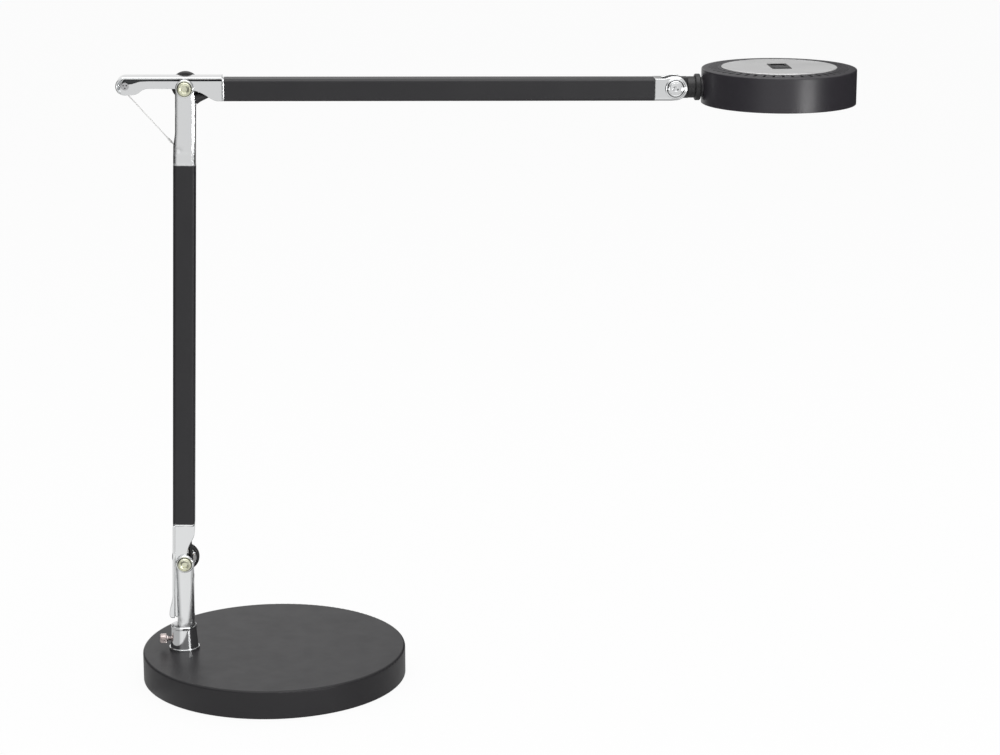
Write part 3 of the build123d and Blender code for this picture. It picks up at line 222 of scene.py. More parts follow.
def satin_black():
    """Satin black lacquer on the head's aluminium, with a broad soft highlight."""
    coat = Shader("satin_black", color=(0.025, 0.023, 0.028), roughness=0.36)
    coat.bevel(0.8 * MM)
    coat.vary_roughness(coat.noise(scale=40.0), low=0.32, high=0.37)
    coat.bump(coat.noise(scale=1500.0, detail=2.0), distance=0.01 * MM, strength=0.35)
    return coat.material


def chrome(name, edge):
    """Bright chrome on a polished casting: clear reflections with a slight waviness."""
    plate = Shader(name, color=(0.82, 0.83, 0.835), roughness=0.06, metallic=1.0)
    plate.bevel(edge)
    plate.vary_roughness(plate.noise(scale=90.0), low=0.04, high=0.09)
    plate.bump(plate.noise(scale=45.0, detail=1.0), distance=0.35 * MM, strength=0.12)
    return plate.material


def shade_painted_chrome():
    """Chrome deep in the corner under a flange, darkened to near black: painted shade and painted dark reflection
    of that corner.
    """
    plate = Shader("shade_painted_chrome", color=(0.055, 0.058, 0.060), roughness=0.12, metallic=1.0)
    plate.vary_roughness(plate.noise(scale=90.0), low=0.08, high=0.16)
    return plate.material


def zinc_yellow():
    """Zinc plate with a pale yellow passivation."""
    zinc = Shader("zinc_yellow", color=(0.78, 0.78, 0.62), roughness=0.34, metallic=1.0)
    zinc.vary_color(zinc.noise(scale=350.0), first=(0.83, 0.83, 0.68), second=(0.70, 0.71, 0.53))
    return zinc.material


def bright_wire():
    """Drawn wire, pale and bright."""
    wire = Shader("bright_wire", color=(0.84, 0.84, 0.83), roughness=0.5)
    wire.bump(wire.noise(scale=2500.0, detail=2.0, stretch=(1.0, 1.0, 0.2)), distance=0.01 * MM, strength=0.3)
    return wire.material


def plain_steel():
    """Plain steel, a little uneven in its shine."""
    steel = Shader("plain_steel", color=(0.55, 0.55, 0.56), roughness=0.3, metallic=1.0)
    steel.bevel(0.2 * MM)
    steel.vary_roughness(steel.noise(scale=300.0), low=0.24, high=0.38)
    return steel.material


def rosy_steel():
    """Nickel plate with a warm tint, on the thumbscrew."""
    steel = Shader("rosy_steel", color=(0.66, 0.59, 0.57), roughness=0.3, metallic=1.0)
    steel.vary_color(steel.noise(scale=500.0), first=(0.74, 0.67, 0.65), second=(0.52, 0.45, 0.44))
    return steel.material


def brass():
    """Turned brass."""
    metal = Shader("turned_brass", color=(0.70, 0.50, 0.24), roughness=0.25, metallic=1.0)
    metal.vary_roughness(metal.noise(scale=400.0), low=0.2, high=0.34)
    return metal.material


def black_plastic():
    """Satin black moulded plastic with a fine spark texture."""
    plastic = Shader("black_plastic", color=(0.012, 0.0118, 0.0125), roughness=0.42)
    plastic.bevel(0.4 * MM)
    plastic.bump(plastic.noise(scale=1600.0, detail=2.0), distance=0.02 * MM, strength=0.5)
    return plastic.material


def rocker_plastic():
    """Dark grey moulded rocker, glossier than the housing."""
    plastic = Shader("rocker_plastic", color=(0.10, 0.10, 0.102), roughness=0.30)
    plastic.bevel(0.3 * MM)
    plastic.bump(plastic.noise(scale=1400.0, detail=2.0), distance=0.01 * MM, strength=0.4)
    return plastic.material


def cable_sheath():
    """Dull black cable sheath."""
    sheath = Shader("cable_sheath", color=(0.014, 0.014, 0.015), roughness=0.5)
    sheath.bump(sheath.noise(scale=700.0), distance=0.02 * MM, strength=0.4)
    return sheath.material


def silver_plate():
    """Satin silver anodised plate, brushed in one direction."""
    plate = Shader("silver_plate", color=(0.70, 0.70, 0.70), roughness=0.42, metallic=0.75)
    plate.bevel(0.3 * MM)
    grain = plate.noise(scale=500.0, detail=3.0, stretch=(0.04, 1.0, 1.0))
    plate.vary_roughness(grain, low=0.36, high=0.5)
    plate.bump(grain, distance=0.01 * MM, strength=0.35)
    return plate.material


def bare_aluminium():
    """Bare aluminium of the heat sink."""
    metal = Shader("bare_aluminium", color=(0.70, 0.70, 0.71), roughness=0.4, metallic=1.0)
    metal.vary_roughness(metal.noise(scale=250.0), low=0.34, high=0.5)
    return metal.material


def foam_rubber():
    """Open foam rubber of the pad."""
    foam = Shader("foam_rubber", color=(0.012, 0.012, 0.012), roughness=0.85)
    foam.bump(foam.noise(scale=1200.0), distance=0.1 * MM, strength=0.6)
    return foam.material


def cast_iron():
    """Rough cast iron."""
    iron = Shader("cast_iron", color=(0.05, 0.05, 0.05), roughness=0.7, metallic=0.6)
    iron.bump(iron.noise(scale=300.0), distance=0.3 * MM, strength=0.6)
    return iron.material


def nylon():
    """Natural nylon, for the bush and the friction washers."""
    plastic = Shader("nylon", color=(0.62, 0.60, 0.55), roughness=0.45)
    plastic.bump(plastic.noise(scale=900.0), distance=0.02 * MM, strength=0.3)
    return plastic.material


def white_board():
    """White solder mask of the light board."""
    mask = Shader("white_solder_mask", color=(0.78, 0.78, 0.75), roughness=0.35)
    mask.bump(mask.noise(scale=600.0), distance=0.02 * MM, strength=0.3)
    return mask.material


def phosphor():
    """Yellow face of the light sources, unlit."""
    glow = Shader("yellow_phosphor", color=(0.85, 0.68, 0.12), roughness=0.35)
    glow.vary_color(glow.noise(scale=900.0), first=(0.88, 0.72, 0.16), second=(0.80, 0.62, 0.10))
    return glow.material


def opal_diffuser():
    """Opal sheet: frosted white, a little translucent."""
    opal = Shader("opal_diffuser", color=(0.80, 0.81, 0.81), roughness=0.38)
    opal.set("Subsurface Weight", 0.15)
    opal.set("Subsurface Scale", 2.0 * MM)
    opal.bump(opal.noise(scale=1500.0), distance=0.02 * MM, strength=0.3)
    return opal.material


def white_reflector():
    """White moulded reflector."""
    plastic = Shader("white_reflector", color=(0.82, 0.82, 0.81), roughness=0.3)
    plastic.bump(plastic.noise(scale=500.0), distance=0.02 * MM, strength=0.3)
    return plastic.material


BLACK_PLASTIC = black_plastic()
PLAIN_STEEL = plain_steel()
BRIGHT_WIRE = bright_wire()
# near-black chrome whose darkness is painted shade under the upper casting's flange
SHADE_PAINTED_CHROME = shade_painted_chrome()

# finish of each material slot
FINISHES = {
    "black_steel": powder_coat(),
    "cast_iron": cast_iron(),
    "pad_rubber": foam_rubber(),
    "black_plastic": BLACK_PLASTIC,
    "cable_sheath": cable_sheath(),
    "chrome": chrome("chrome_plate", 1.2 * MM),
    "plain_steel": PLAIN_STEEL,
    "nylon": nylon(),
    "knurled_screw": rosy_steel(),
    "zinc_yellow": zinc_yellow(),
    "brass": brass(),
    "black_aluminium": anodised_black(),
    "spring_steel": PLAIN_STEEL,
    "silver_aluminium": silver_plate(),
    "bare_aluminium": bare_aluminium(),
    "board": white_board(),
    "led": phosphor(),
    "white_plastic": white_reflector(),
    "diffuser": opal_diffuser(),
    "ring_plastic": BLACK_PLASTIC,
}

# chrome with a narrower or a broader rounding of its edges
FINE_CHROME = chrome("fine_chrome", 0.4 * MM)
BROAD_CHROME = chrome("broad_chrome", 4.6 * MM)
# nodes whose finish differs from their slot's
OWN_FINISHES = {
    "collar": FINE_CHROME,
    "post": BROAD_CHROME,
    "lower_fork_fitting": BROAD_CHROME,
    "head_pivot_nut": FINE_CHROME,
    "head_housing": satin_black(),
    "switch_rocker": rocker_plastic(),
}

for subpart in frame["record"]["subparts"]:
    cad_object = nodes[subpart["node"]]
    cad_object.data.materials.clear()
    cad_object.data.materials.append(OWN_FINISHES.get(subpart["node"], FINISHES[subpart["material_slot"]]))


# ---------------------------------------------------------------- wires and cables across the arm joints

# points of each run in the lamp's middle plane, in millimetres
UPPER_WIRE = ((-118.086, 523.847), (-72.735, 471.948))
LOWER_WIRE = ((-85.891, 62.899), (-84.068, 53.151))
UPPER_CABLE = (
    (-62.629, 458.735),
    (-61.039, 513.311),
    (-54.565, 515.720),
    (-50.467, 516.415),
    (-42.445, 517.945),
    (-35.446, 517.884),
)
LOWER_CABLE = (
    (-78.300, 47.000),
    (-78.300, 52.000),
    (-73.600, 68.000),
    (-73.400, 90.000),
    (-70.803, 105.822),
    (-72.627, 121.883),
    (-72.212, 135.877),
)
WIRE_RADIUS = 0.5 * MM
WIRE_POINTS = 61
CABLE_RADIUS = 1.8 * MM
CABLE_STEPS = 14
CRIMP_RADIUS = 1.0 * MM
# shares of the wire's length between which the pressed sleeve sits
CRIMP_SPAN = (0.826, 0.893)
# the boot starts at this x and fades towards +X
BOOT_START = -57.5 * MM
BOOT_LENGTH = 12.0 * MM
BOOT_SWELL = 3.4 * MM
RING_SIDES = 20


def in_space(point):
    """A point of the lamp's middle plane, in metres."""
    return Vector((point[0] * MM, 0.0, point[1] * MM))


def smooth_line(points, steps):
    """Points along a smooth NURBS line that keeps the ends and their directions."""
    curve = bpy.data.curves.new("route", "CURVE")
    curve.dimensions = "3D"
    curve.resolution_u = steps
    spline = curve.splines.new("NURBS")
    spline.points.add(len(points) - 1)
    for target, point in zip(spline.points, points):
        target.co = (*point, 1.0)
    spline.order_u = min(3, len(points))
    spline.use_endpoint_u = True
    holder = bpy.data.objects.new("route", curve)
    bpy.context.scene.collection.objects.link(holder)
    mesh = bpy.data.meshes.new_from_object(holder)
    line = [vertex.co.copy() for vertex in mesh.vertices]
    bpy.data.objects.remove(holder)
    bpy.data.meshes.remove(mesh)
    return line


def tube_along(name, line, radii):
    """Closed round tube along points of a plane with y square to it, with a radius at each point."""
    verts = []
    for index, (point, radius) in enumerate(zip(line, radii)):
        before, after = line[max(index - 1, 0)], line[min(index + 1, len(line) - 1)]
        way = (after - before).normalized()
        aside = Vector((0.0, 1.0, 0.0))
        up = way.cross(aside)
        for side in range(RING_SIDES):
            angle = 2 * math.pi * side / RING_SIDES
            verts.append(point + (aside * math.cos(angle) + up * math.sin(angle)) * radius)
    faces = ring_faces(len(line), RING_SIDES) + end_faces(len(line), RING_SIDES)
    return new_mesh(name, verts, faces)


def straight_line(points, count):
    """Evenly spaced points between two ends."""
    start, end = (in_space(point) for point in points)
    return [start.lerp(end, index / (count - 1)) for index in range(count)]


def add_wire(name, points, node, crimp):
    """Balance wire between two bodies, with its pressed sleeve where it has one."""
    line = straight_line(points, WIRE_POINTS)
    shares = [index / (len(line) - 1) for index in range(len(line))]
    sleeved = [crimp and CRIMP_SPAN[0] <= share <= CRIMP_SPAN[1] for share in shares]
    radii = [CRIMP_RADIUS if covered else WIRE_RADIUS for covered in sleeved]
    wire = tube_along(name, line, radii)
    wire.data.materials.append(BRIGHT_WIRE)
    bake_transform(wire)
    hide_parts(node)


def boot_swell(point):
    """Extra radius of the moulded boot where the cable leaves the fork, fading towards the upper casting."""
    along = (point.x - BOOT_START) / BOOT_LENGTH
    return BOOT_SWELL * (1.0 - along) if 0.0 <= along <= 1.0 else 0.0


def add_cable(name, points, node, booted):
    """Supply cable bent across a joint, with its boot where it has one."""
    line = smooth_line([in_space(point) for point in points], CABLE_STEPS)
    radii = [CABLE_RADIUS + (boot_swell(point) if booted else 0.0) for point in line]
    cable = tube_along(name, line, radii)
    cable.data.materials.append(FINISHES["cable_sheath"])
    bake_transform(cable)
    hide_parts(node)


add_wire("upper_wire_run", UPPER_WIRE, "upper_joint_wire", True)
add_wire("lower_wire_run", LOWER_WIRE, "lower_joint_wire", False)
add_cable("upper_cable_bend", UPPER_CABLE, "upper_joint_cable", True)
add_cable("lower_cable_bend", LOWER_CABLE, "lower_joint_cable", False)

# ---------------------------------------------------------------- thumbscrew with its knurled head

SCREW_SHANK_RADIUS = 1.9 * MM
SCREW_HEAD_RADIUS = 4.2 * MM
SCREW_HEAD_START = 15.3 * MM
SCREW_REACH = 21.5 * MM
SCREW_TIP_CHAMFER = 0.4 * MM
THREAD_START = 0.9 * MM
THREAD_PITCH = 0.7 * MM
THREAD_GROOVE_AT = 0.3 * MM
THREAD_DEPTH = 0.25 * MM
THREAD_CLEARANCE = 1.6 * MM
# the flange behind the head: where its cone starts and ends before the head, and its extra radius
FLANGE_CONE_START = 1.2 * MM
FLANGE_CONE_END = 1.0 * MM
FLANGE_STEP = 0.6 * MM
# rounded rims of the head, in millimetres: distance in from its near or far end, and inside its radius
NEAR_RIM = ((0.0, 0.9), (0.25, 0.4), (0.7, 0.0))
FAR_RIM = ((0.9, 0.0), (0.3, 0.4), (0.1, 0.9), (0.4, 1.5))
FACE_HOLLOW = 0.4 * MM
KNURLS = 28
SIDES_PER_KNURL = 4
KNURL_DEPTH = 0.35 * MM
# rings of the head within this distance of its radius are knurled
KNURL_REACH = 0.45 * MM


def add_thumbscrew():
    """Turned along -X from the post's axis: threaded shank, flange and knurled head."""
    centre = joint_point("thumbscrew_turn")
    tip = centre.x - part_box("thumbscrew")[1][0]
    profile = [
        (tip, 0.0),
        (tip, SCREW_SHANK_RADIUS - SCREW_TIP_CHAMFER),
        (tip + SCREW_TIP_CHAMFER, SCREW_SHANK_RADIUS),
    ]
    along = tip + THREAD_START
    while along < SCREW_HEAD_START - THREAD_CLEARANCE:
        profile += [
            (along, SCREW_SHANK_RADIUS),
            (along + THREAD_GROOVE_AT, SCREW_SHANK_RADIUS - THREAD_DEPTH),
        ]
        along += THREAD_PITCH
    profile += [
        (SCREW_HEAD_START - FLANGE_CONE_START, SCREW_SHANK_RADIUS),
        (SCREW_HEAD_START - FLANGE_CONE_END, SCREW_SHANK_RADIUS + FLANGE_STEP),
        (SCREW_HEAD_START, SCREW_SHANK_RADIUS + FLANGE_STEP),
    ]
    profile += [(SCREW_HEAD_START + inset * MM, SCREW_HEAD_RADIUS - drop * MM) for inset, drop in NEAR_RIM]
    profile += [(SCREW_REACH - inset * MM, SCREW_HEAD_RADIUS - drop * MM) for inset, drop in FAR_RIM]
    profile.append((SCREW_REACH - FACE_HOLLOW, 0.0))
    sides = KNURLS * SIDES_PER_KNURL
    verts = []
    for along, radius in profile:
        for side in range(sides):
            angle = 2 * math.pi * side / sides
            grooved = side % SIDES_PER_KNURL in (1, 2) and radius >= SCREW_HEAD_RADIUS - KNURL_REACH
            reach = radius - KNURL_DEPTH if grooved else radius
            verts.append(centre + Vector((-along, reach * math.cos(angle), reach * math.sin(angle))))
    screw = new_mesh("knurled_thumbscrew", verts, ring_faces(len(profile), sides), smooth=False)
    weld(screw)
    screw.data.materials.append(FINISHES["knurled_screw"])
    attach(screw, "thumbscrew")
    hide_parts("thumbscrew")


add_thumbscrew()

# ---------------------------------------------------------------- screws, rings and rounded forms


def turned(name, centre, profile, sides, radius_at=None, smooth=False):
    """Piece turned about a line along Y, from (y, radius) pairs; radius_at can reshape a ring."""
    verts = []
    for index, (y, radius) in enumerate(profile):
        for side in range(sides):
            angle = 2 * math.pi * side / sides
            reach = radius_at(index, radius, angle) if radius_at else radius
            verts.append(Vector((centre.x + reach * math.cos(angle), y, centre.z + reach * math.sin(angle))))
    piece = new_mesh(name, verts, ring_faces(len(profile), sides), smooth)
    weld(piece)
    return piece


SCREW_SIDES = 96
HEAD_THICKNESS = 3.0 * MM
SHANK_SHARE = 0.45
# rim and groove of a screw's head, in millimetres: depth behind its face, and distance inside its radius
HEAD_FACE = ((0.9, 0.0), (0.45, 0.12), (0.12, 0.45), (0.0, 0.95), (0.30, 1.15), (0.30, 1.45), (0.05, 1.75))
# the socket's lead-in: its two depths, and the outer one's extra radius
LEAD_START, LEAD_END, LEAD_WIDTH = 0.30 * MM, 0.75 * MM, 0.7 * MM
SOCKET_DEPTH = 2.2 * MM
ARM_SOCKET = 2.7 * MM
HEAD_SOCKET = 1.7 * MM


def add_socket_screw(name, node, body, slot, finish, socket):
    """Socket screw: rounded rim, fine groove inside it, dished face and hexagonal socket."""
    low, high = (Vector(corner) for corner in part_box(node))
    centre = (low + high) / 2
    radius = (high.x - low.x) / 2
    face = low.y
    seat = face + HEAD_THICKNESS
    profile = [(high.y, 0.0), (high.y, radius * SHANK_SHARE), (seat, radius * SHANK_SHARE), (seat, radius)]
    profile += [(face + depth * MM, radius - inset * MM) for depth, inset in HEAD_FACE]
    profile += [
        (face + LEAD_START, socket + LEAD_WIDTH),
        (face + LEAD_END, socket),
        (face + SOCKET_DEPTH, socket),
        (face + SOCKET_DEPTH, 0.0),
    ]
    hexed = (len(profile) - 3, len(profile) - 2)

    def radius_at(index, reach, angle):
        if index not in hexed:
            return reach
        sixth = math.pi / 3
        return reach * math.cos(sixth / 2) / math.cos(angle % sixth - sixth / 2)

    screw = turned(name, centre, profile, SCREW_SIDES, radius_at)
    screw.data.materials.append(finish)
    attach(screw, body)
    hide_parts(node)


RING_STEPS = 16


def add_ring(name, centre, y, radius, thickness, body, slot, finish):
    """Rounded ring about a pivot, seated on its cheek."""
    profile = []
    for step in range(RING_STEPS + 1):
        angle = 2 * math.pi * step / RING_STEPS
        profile.append((y + thickness * math.cos(angle), radius + thickness * math.sin(angle)))
    ring = turned(name, centre, profile, SCREW_SIDES, smooth=True)
    ring.data.materials.append(finish)
    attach(ring, body)


LOWER_PIVOT = joint_point("lower_arm_pivot")
UPPER_PIVOT = joint_point("upper_arm_pivot")
HEAD_PIVOT = joint_point("head_tilt")
ZINC = ("zinc_yellow", FINISHES["zinc_yellow"])
CHROME = ("chrome", FINE_CHROME)
# black for the thin rings under the screw heads, which paint the shadow gap round each head
SHADOW_GAP_BLACK = ("black_plastic", BLACK_PLASTIC)
for screw in (
    ("lower_socket_screw", "lower_pivot_screw", "post", *ZINC, ARM_SOCKET),
    ("upper_socket_screw", "upper_pivot_screw", "lower_arm", *ZINC, ARM_SOCKET),
    ("head_socket_screw", "head_pivot_screw", "upper_arm", *CHROME, HEAD_SOCKET),
):
    add_socket_screw(*screw)

# rings: name, centre, then y, radius and thickness in millimetres, body, slot and finish
for name, centre, y, radius, thickness, *rest in (
    ("lower_boss_ring", LOWER_PIVOT, -9.7, 6.9, 0.8, "post", *CHROME),
    ("upper_boss_ring", UPPER_PIVOT, -9.7, 6.9, 0.8, "lower_arm", *CHROME),
    ("head_boss_ring", HEAD_PIVOT, -9.6, 8.0, 0.9, "upper_arm", *CHROME),
    # these three black rings are painted shade: the dark gap round each screw head drawn as a ring
    ("lower_shadow_gap_ring", LOWER_PIVOT, -9.9, 5.9, 0.35, "post", *SHADOW_GAP_BLACK),
    ("upper_shadow_gap_ring", UPPER_PIVOT, -9.9, 5.9, 0.35, "lower_arm", *SHADOW_GAP_BLACK),
    ("head_shadow_gap_ring", HEAD_PIVOT, -9.9, 6.95, 0.4, "upper_arm", *SHADOW_GAP_BLACK),
    ("outer_thrust_ring", LOWER_PIVOT, 9.95, 9.0, 0.38, "post", *CHROME),
    ("inner_thrust_ring", LOWER_PIVOT, 9.95, 8.0, 0.38, "post", *CHROME),
):
    add_ring(name, centre, y * MM, radius * MM, thickness * MM, *rest)

# upper casting: the club's centre and the corner under its flange, in the lamp's middle plane
CLUB = middle("upper_wire_guide")
CLUB_RADIUS = CLUB.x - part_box("upper_tail_fitting")[0][0]
FLANGE_EDGE = 9.5 * MM
WEB_FACE = 6.8 * MM
FLANGE_BELOW_PIVOT = Vector((0.0, 0.0, 8.19 * MM))
ARM_WAY = (HEAD_PIVOT - UPPER_PIVOT).normalized()
# distance along the arm from the pivot, and height of the corner's hollow there
CORNER = ((-53.4, 4.9), (-49.0, 4.8), (-44.0, 4.4), (-40.5, 3.3), (-37.0, 2.3), (-30.0, 2.0), (31.5, 2.0))
CORNER_STEPS = 10
# the hollow stops this short of the flange's edge, and its back lies this far inside the web and the flange
CORNER_INSET = 0.25 * MM
WEB_OVERLAP = 0.2 * MM
FLANGE_OVERLAP = 0.1 * MM


def add_flange_corner(name, sign):
    """Hollow fillet between the upper casting's flange and one of its webs, deeper by the club, in near-black
    chrome that paints the shade under the flange.
    """
    verts = []
    for along, height in CORNER:
        top = UPPER_PIVOT + ARM_WAY * along * MM + FLANGE_BELOW_PIVOT
        for step in range(CORNER_STEPS + 1):
            angle = math.pi / 2 * step / CORNER_STEPS
            y = FLANGE_EDGE - CORNER_INSET - (FLANGE_EDGE - CORNER_INSET - WEB_FACE) * math.cos(angle)
            z = top.z - height * MM * (1.0 - math.sin(angle))
            verts.append((top.x, sign * y, z))
        verts.append((top.x, sign * (WEB_FACE - WEB_OVERLAP), top.z + FLANGE_OVERLAP))
    row = CORNER_STEPS + 2
    corner = new_mesh(name, verts, ring_faces(len(CORNER), row) + end_faces(len(CORNER), row))
    weld(corner)
    # the near-black colour of this fillet is painted shade, not the plating's own tone
    corner.data.materials.append(SHADE_PAINTED_CHROME)
    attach(corner, "upper_arm")


add_flange_corner("front_flange_corner", -1)
add_flange_corner("back_flange_corner", 1)

# the nose that the flange rolls into: degrees round the club, and its rounded band's width in millimetres
NOSE = (
    (86, 1.3),
    (100, 2.2),
    (120, 3.8),
    (145, 4.6),
    (170, 4.7),
    (195, 4.3),
    (215, 3.2),
    (232, 1.8),
    (246, 0.5),
)
NOSE_STEPS = 24


def add_nose():
    """Rounded nose round the club's end, from the flange's top to under the club."""
    verts = []
    for degrees, width in NOSE:
        way = Vector((math.cos(math.radians(degrees)), 0.0, math.sin(math.radians(degrees))))
        for step in range(NOSE_STEPS + 1):
            angle = math.pi * step / NOSE_STEPS
            reach = CLUB_RADIUS - width * MM * (1.0 - math.sin(angle))
            point = CLUB + way * reach
            verts.append((point.x, -FLANGE_EDGE * math.cos(angle), point.z))
    row = NOSE_STEPS + 1
    nose = new_mesh("casting_nose", verts, ring_faces(len(NOSE), row) + end_faces(len(NOSE), row))
    weld(nose)
    shape = nose.modifiers.new("rounder", "SUBSURF")
    shape.levels = shape.render_levels = 1
    nose.data.materials.append(FINE_CHROME)
    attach(nose, "upper_arm")


add_nose()


PIN_HEAD_FACE = WEB_FACE + 1.1 * MM
PIN_HEAD_RADIUS = 3.3 * MM
PIN_HEAD_SIDES = 48
PIN_HEAD_SUNK = 0.3 * MM
# rim of the pin's head, in millimetres: depth behind its face, and distance inside its radius
PIN_RIM = ((0.35, 0.0), (0.1, 0.15), (0.0, 0.45))
HOLE_COUNT = 3
HOLE_TURN = 30
HOLE_CIRCLE = 1.5
HOLE_RADIUS = 0.62 * MM
HOLE_SIDES = 20
HOLE_DEPTH = 0.5 * MM
HOLE_PROUD = 0.02 * MM


def add_pin_head(name, sign):
    """Flat round head of the wire guide's pin in the club's side, with three spanner holes drawn as black discs:
    painted shade, not cut holes.
    """
    profile = [(sign * (WEB_FACE - PIN_HEAD_SUNK), PIN_HEAD_RADIUS)]
    for depth, inset in PIN_RIM:
        profile.append((sign * (PIN_HEAD_FACE - depth * MM), PIN_HEAD_RADIUS - inset * MM))
    profile.append((sign * PIN_HEAD_FACE, 0.0))
    head = turned(name, CLUB, profile, PIN_HEAD_SIDES)
    head.data.materials.append(PLAIN_STEEL)
    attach(head, "upper_arm")
    floor, rim = sign * (PIN_HEAD_FACE - HOLE_DEPTH), sign * (PIN_HEAD_FACE + HOLE_PROUD)
    # each spanner hole is a black disc just proud of the face, painted shade in place of a cut hole
    for index in range(HOLE_COUNT):
        angle = math.radians(HOLE_TURN + 360 // HOLE_COUNT * index)
        spot = CLUB + Vector((math.cos(angle), 0.0, math.sin(angle))) * HOLE_CIRCLE * MM
        disc = [(floor, HOLE_RADIUS), (rim, HOLE_RADIUS), (rim, 0.0)]
        hole_shade = turned(f"{name}_hole_{index}", spot, disc, HOLE_SIDES)
        hole_shade.data.materials.append(BLACK_PLASTIC)
        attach(hole_shade, "upper_arm")


add_pin_head("front_pin_head", -1)
add_pin_head("back_pin_head", 1)

# ---------------------------------------------------------------- camera at the photograph's viewing angle

CAMERA_PLACE = Vector((0.04235, -2.29690, 0.84735))
CAMERA_YAW = -0.068854
CAMERA_PITCH = 0.246686
FOCAL_PIXELS = 2723.06
FRAME_WIDTH_PIXELS = 1000.0
SENSOR_WIDTH = 36.0
CAMERA_REACH = 50.0


def add_camera():
    """Pinhole camera as fitted to the photograph: no roll, no shift."""
    data = bpy.data.cameras.new("photo_camera")
    data.sensor_fit = "HORIZONTAL"
    data.sensor_width = SENSOR_WIDTH
    data.lens = FOCAL_PIXELS * SENSOR_WIDTH / FRAME_WIDTH_PIXELS
    data.clip_end = CAMERA_REACH
    camera = bpy.data.objects.new("photo_camera", data)
    forward = Vector(
        (
            -math.sin(CAMERA_YAW) * math.cos(CAMERA_PITCH),
            math.cos(CAMERA_YAW) * math.cos(CAMERA_PITCH),
            -math.sin(CAMERA_PITCH),
        )
    )
    right = Vector((math.cos(CAMERA_YAW), math.sin(CAMERA_YAW), 0.0))
    up = right.cross(forward)
    turn = Matrix((right, up, -forward)).transposed()
    camera.matrix_world = Matrix.Translation(CAMERA_PLACE) @ turn.to_4x4()
    bpy.context.scene.collection.objects.link(camera)
    bpy.context.scene.camera = camera


add_camera()


# ---------------------------------------------------------------- floor, world and lights

FLOOR_SIZE = 12.0
FLOOR_COLOR = (0.86, 0.86, 0.86, 1.0)
FLOOR_ROUGHNESS = 0.7
# share of plain white in the floor as the camera sees it, the rest being lit floor with the lamp's shadow
FLOOR_SHOW = 0.93
# for mirrored rays the floor is whiter by this share near the lamp, fading between these distances
NEAR_FLOOR = 0.5
FAR_FLOOR = 1.3
NEAR_LIFT = 0.45
WORLD_LIGHT = 0.60
# for mirrored rays the world turns white overhead, between these heights of the ray's direction
OVERHEAD_START = 0.45
OVERHEAD_END = 0.62

# what polished metal mirrors round the lamp, by degrees from the front: pale, with a dark gap at each side
SURROUNDINGS = (
    (-180, 0.84),
    (-164, 0.84),
    (-150, 0.06),
    (-42, 0.03),
    (-32, 0.62),
    (-14, 0.80),
    (10, 0.72),
    (36, 0.86),
    (50, 0.60),
    (62, 0.03),
    (166, 0.02),
    (178, 0.70),
    (180, 0.84),
)


def surroundings(tree, place):
    """Level of the studio in a direction from the lamp, for mirrored rays."""
    parts = tree.nodes.new("ShaderNodeSeparateXYZ")
    tree.links.new(place, parts.inputs[0])
    front = tree.nodes.new("ShaderNodeMath")
    front.operation = "MULTIPLY"
    front.inputs[1].default_value = -1.0
    tree.links.new(parts.outputs[1], front.inputs[0])
    angle = tree.nodes.new("ShaderNodeMath")
    angle.operation = "ARCTAN2"
    tree.links.new(parts.outputs[0], angle.inputs[0])
    tree.links.new(front.outputs[0], angle.inputs[1])
    turn = tree.nodes.new("ShaderNodeMapRange")
    turn.inputs["From Min"].default_value = -math.pi
    turn.inputs["From Max"].default_value = math.pi
    tree.links.new(angle.outputs[0], turn.inputs["Value"])
    ramp = tree.nodes.new("ShaderNodeValToRGB")
    stops = ramp.color_ramp.elements
    while len(stops) < len(SURROUNDINGS):
        stops.new(0.5)
    for stop, (degrees, level) in zip(stops, SURROUNDINGS):
        stop.position = (degrees + 180.0) / 360.0
        stop.color = (level, level, level, 1.0)
    tree.links.new(turn.outputs["Result"], ramp.inputs["Fac"])
    return ramp.outputs["Color"]


def mixed(tree, share, first, second):
    """Colour between two colours by a share."""
    mix = tree.nodes.new("ShaderNodeMix")
    mix.data_type = "RGBA"
    for value, index in ((share, MIX_SHARE), (first, MIX_FIRST), (second, MIX_SECOND)):
        socket = mix.inputs[index]
        if isinstance(value, bpy.types.NodeSocket):
            tree.links.new(value, socket)
        else:
            socket.default_value = value
    return mix.outputs[MIX_RESULT]


WHITE = (1.0, 1.0, 1.0, 1.0)


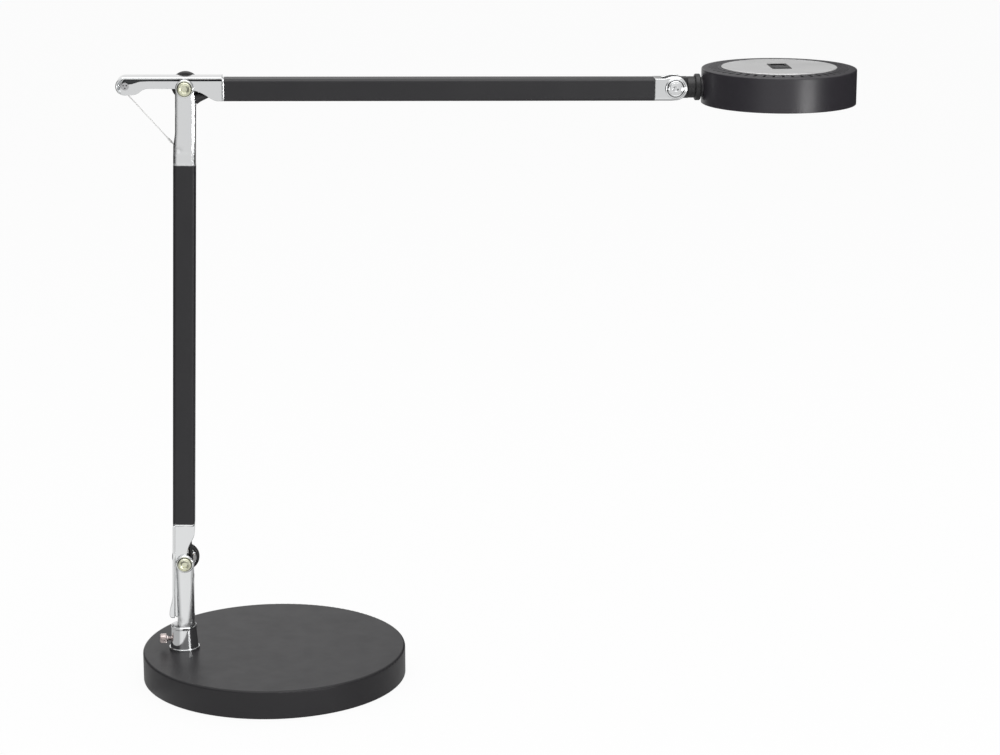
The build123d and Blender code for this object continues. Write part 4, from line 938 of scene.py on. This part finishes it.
def add_floor():
    """Plain pale floor that keeps the lamp's soft shadow but reads almost white."""
    half = FLOOR_SIZE / 2
    corners = [(-half, -half, 0), (half, -half, 0), (half, half, 0), (-half, half, 0)]
    floor = new_mesh("studio_floor", corners, [(0, 1, 2, 3)], smooth=False)
    material = bpy.data.materials.new("pale_floor")
    material.use_nodes = True
    tree = material.node_tree
    shader = tree.nodes["Principled BSDF"]
    shader.inputs["Base Color"].default_value = FLOOR_COLOR
    shader.inputs["Roughness"].default_value = FLOOR_ROUGHNESS
    path = tree.nodes.new("ShaderNodeLightPath")
    spot = tree.nodes.new("ShaderNodeTexCoord")
    aside = tree.nodes.new("ShaderNodeVectorMath")
    aside.operation = "SUBTRACT"
    aside.inputs[1].default_value = tuple(joint_point("base_swivel"))
    tree.links.new(spot.outputs["Object"], aside.inputs[0])
    glow = tree.nodes.new("ShaderNodeEmission")
    away = tree.nodes.new("ShaderNodeVectorMath")
    away.operation = "LENGTH"
    tree.links.new(aside.outputs[0], away.inputs[0])
    near = tree.nodes.new("ShaderNodeMapRange")
    near.inputs["From Min"].default_value = NEAR_FLOOR
    near.inputs["From Max"].default_value = FAR_FLOOR
    near.inputs["To Min"].default_value = NEAR_LIFT
    near.inputs["To Max"].default_value = 0.0
    tree.links.new(away.outputs["Value"], near.inputs["Value"])
    mirrored = mixed(tree, near.outputs["Result"], surroundings(tree, aside.outputs[0]), WHITE)
    tree.links.new(mixed(tree, path.outputs["Is Glossy Ray"], WHITE, mirrored), glow.inputs["Color"])
    seen = tree.nodes.new("ShaderNodeMath")
    seen.operation = "MULTIPLY_ADD"
    seen.inputs[1].default_value = FLOOR_SHOW
    tree.links.new(path.outputs["Is Camera Ray"], seen.inputs[0])
    tree.links.new(path.outputs["Is Glossy Ray"], seen.inputs[2])
    mix = tree.nodes.new("ShaderNodeMixShader")
    tree.links.new(seen.outputs[0], mix.inputs[0])
    tree.links.new(shader.outputs[0], mix.inputs[1])
    tree.links.new(glow.outputs[0], mix.inputs[2])
    tree.links.new(mix.outputs[0], tree.nodes["Material Output"].inputs["Surface"])
    floor.data.materials.append(material)


def set_world():
    """White surroundings: dimmer for diffuse light, white to the camera, with their dark gaps in mirrors."""
    world = bpy.data.worlds.new("studio")
    bpy.context.scene.world = world
    world.use_nodes = True
    tree = world.node_tree
    background = tree.nodes["Background"]
    path = tree.nodes.new("ShaderNodeLightPath")
    way = tree.nodes.new("ShaderNodeTexCoord")
    sides = surroundings(tree, way.outputs["Generated"])
    height = tree.nodes.new("ShaderNodeSeparateXYZ")
    tree.links.new(way.outputs["Generated"], height.inputs[0])
    above = tree.nodes.new("ShaderNodeMapRange")
    above.inputs["From Min"].default_value = OVERHEAD_START
    above.inputs["From Max"].default_value = OVERHEAD_END
    tree.links.new(height.outputs[2], above.inputs["Value"])
    mirrored = mixed(tree, above.outputs["Result"], sides, WHITE)
    dim = (WORLD_LIGHT, WORLD_LIGHT, WORLD_LIGHT, 1.0)
    shown = mixed(tree, path.outputs["Is Camera Ray"], dim, WHITE)
    tree.links.new(mixed(tree, path.outputs["Is Glossy Ray"], shown, mirrored), background.inputs["Color"])


def add_area(name, place, aim, size, power, mirrored):
    """Soft rectangular lamp, seen in mirrors or not."""
    data = bpy.data.lights.new(name, "AREA")
    data.shape = "RECTANGLE"
    data.size, data.size_y = size
    data.energy = power
    lamp = bpy.data.objects.new(name, data)
    lamp.location = place
    lamp.rotation_euler = (Vector(aim) - Vector(place)).to_track_quat("-Z", "Y").to_euler()
    lamp.visible_glossy = mirrored
    bpy.context.scene.collection.objects.link(lamp)


add_floor()
set_world()
LAMP_MIDDLE = (0.1, 0.0, 0.3)
UNDER_HEAD = (0.40, 0.0, 0.45)
# lights: name, place, aim, width and height in metres, watts, and whether mirrors show them
for light in (
    ("key_above", (0.2, -0.4, 2.4), LAMP_MIDDLE, (2.4, 2.0), 26.0, True),
    ("box_right", (1.25, -1.25, 0.27), UNDER_HEAD, (0.50, 0.26), 5.0, True),
    ("fill_left", (-2.2, -1.2, 1.2), LAMP_MIDDLE, (1.4, 1.6), 9.0, False),
    ("rim_right", (2.2, 0.6, 1.3), LAMP_MIDDLE, (1.0, 1.6), 6.0, False),
):
    add_area(*light)

bpy.context.scene.view_settings.view_transform = "Standard"
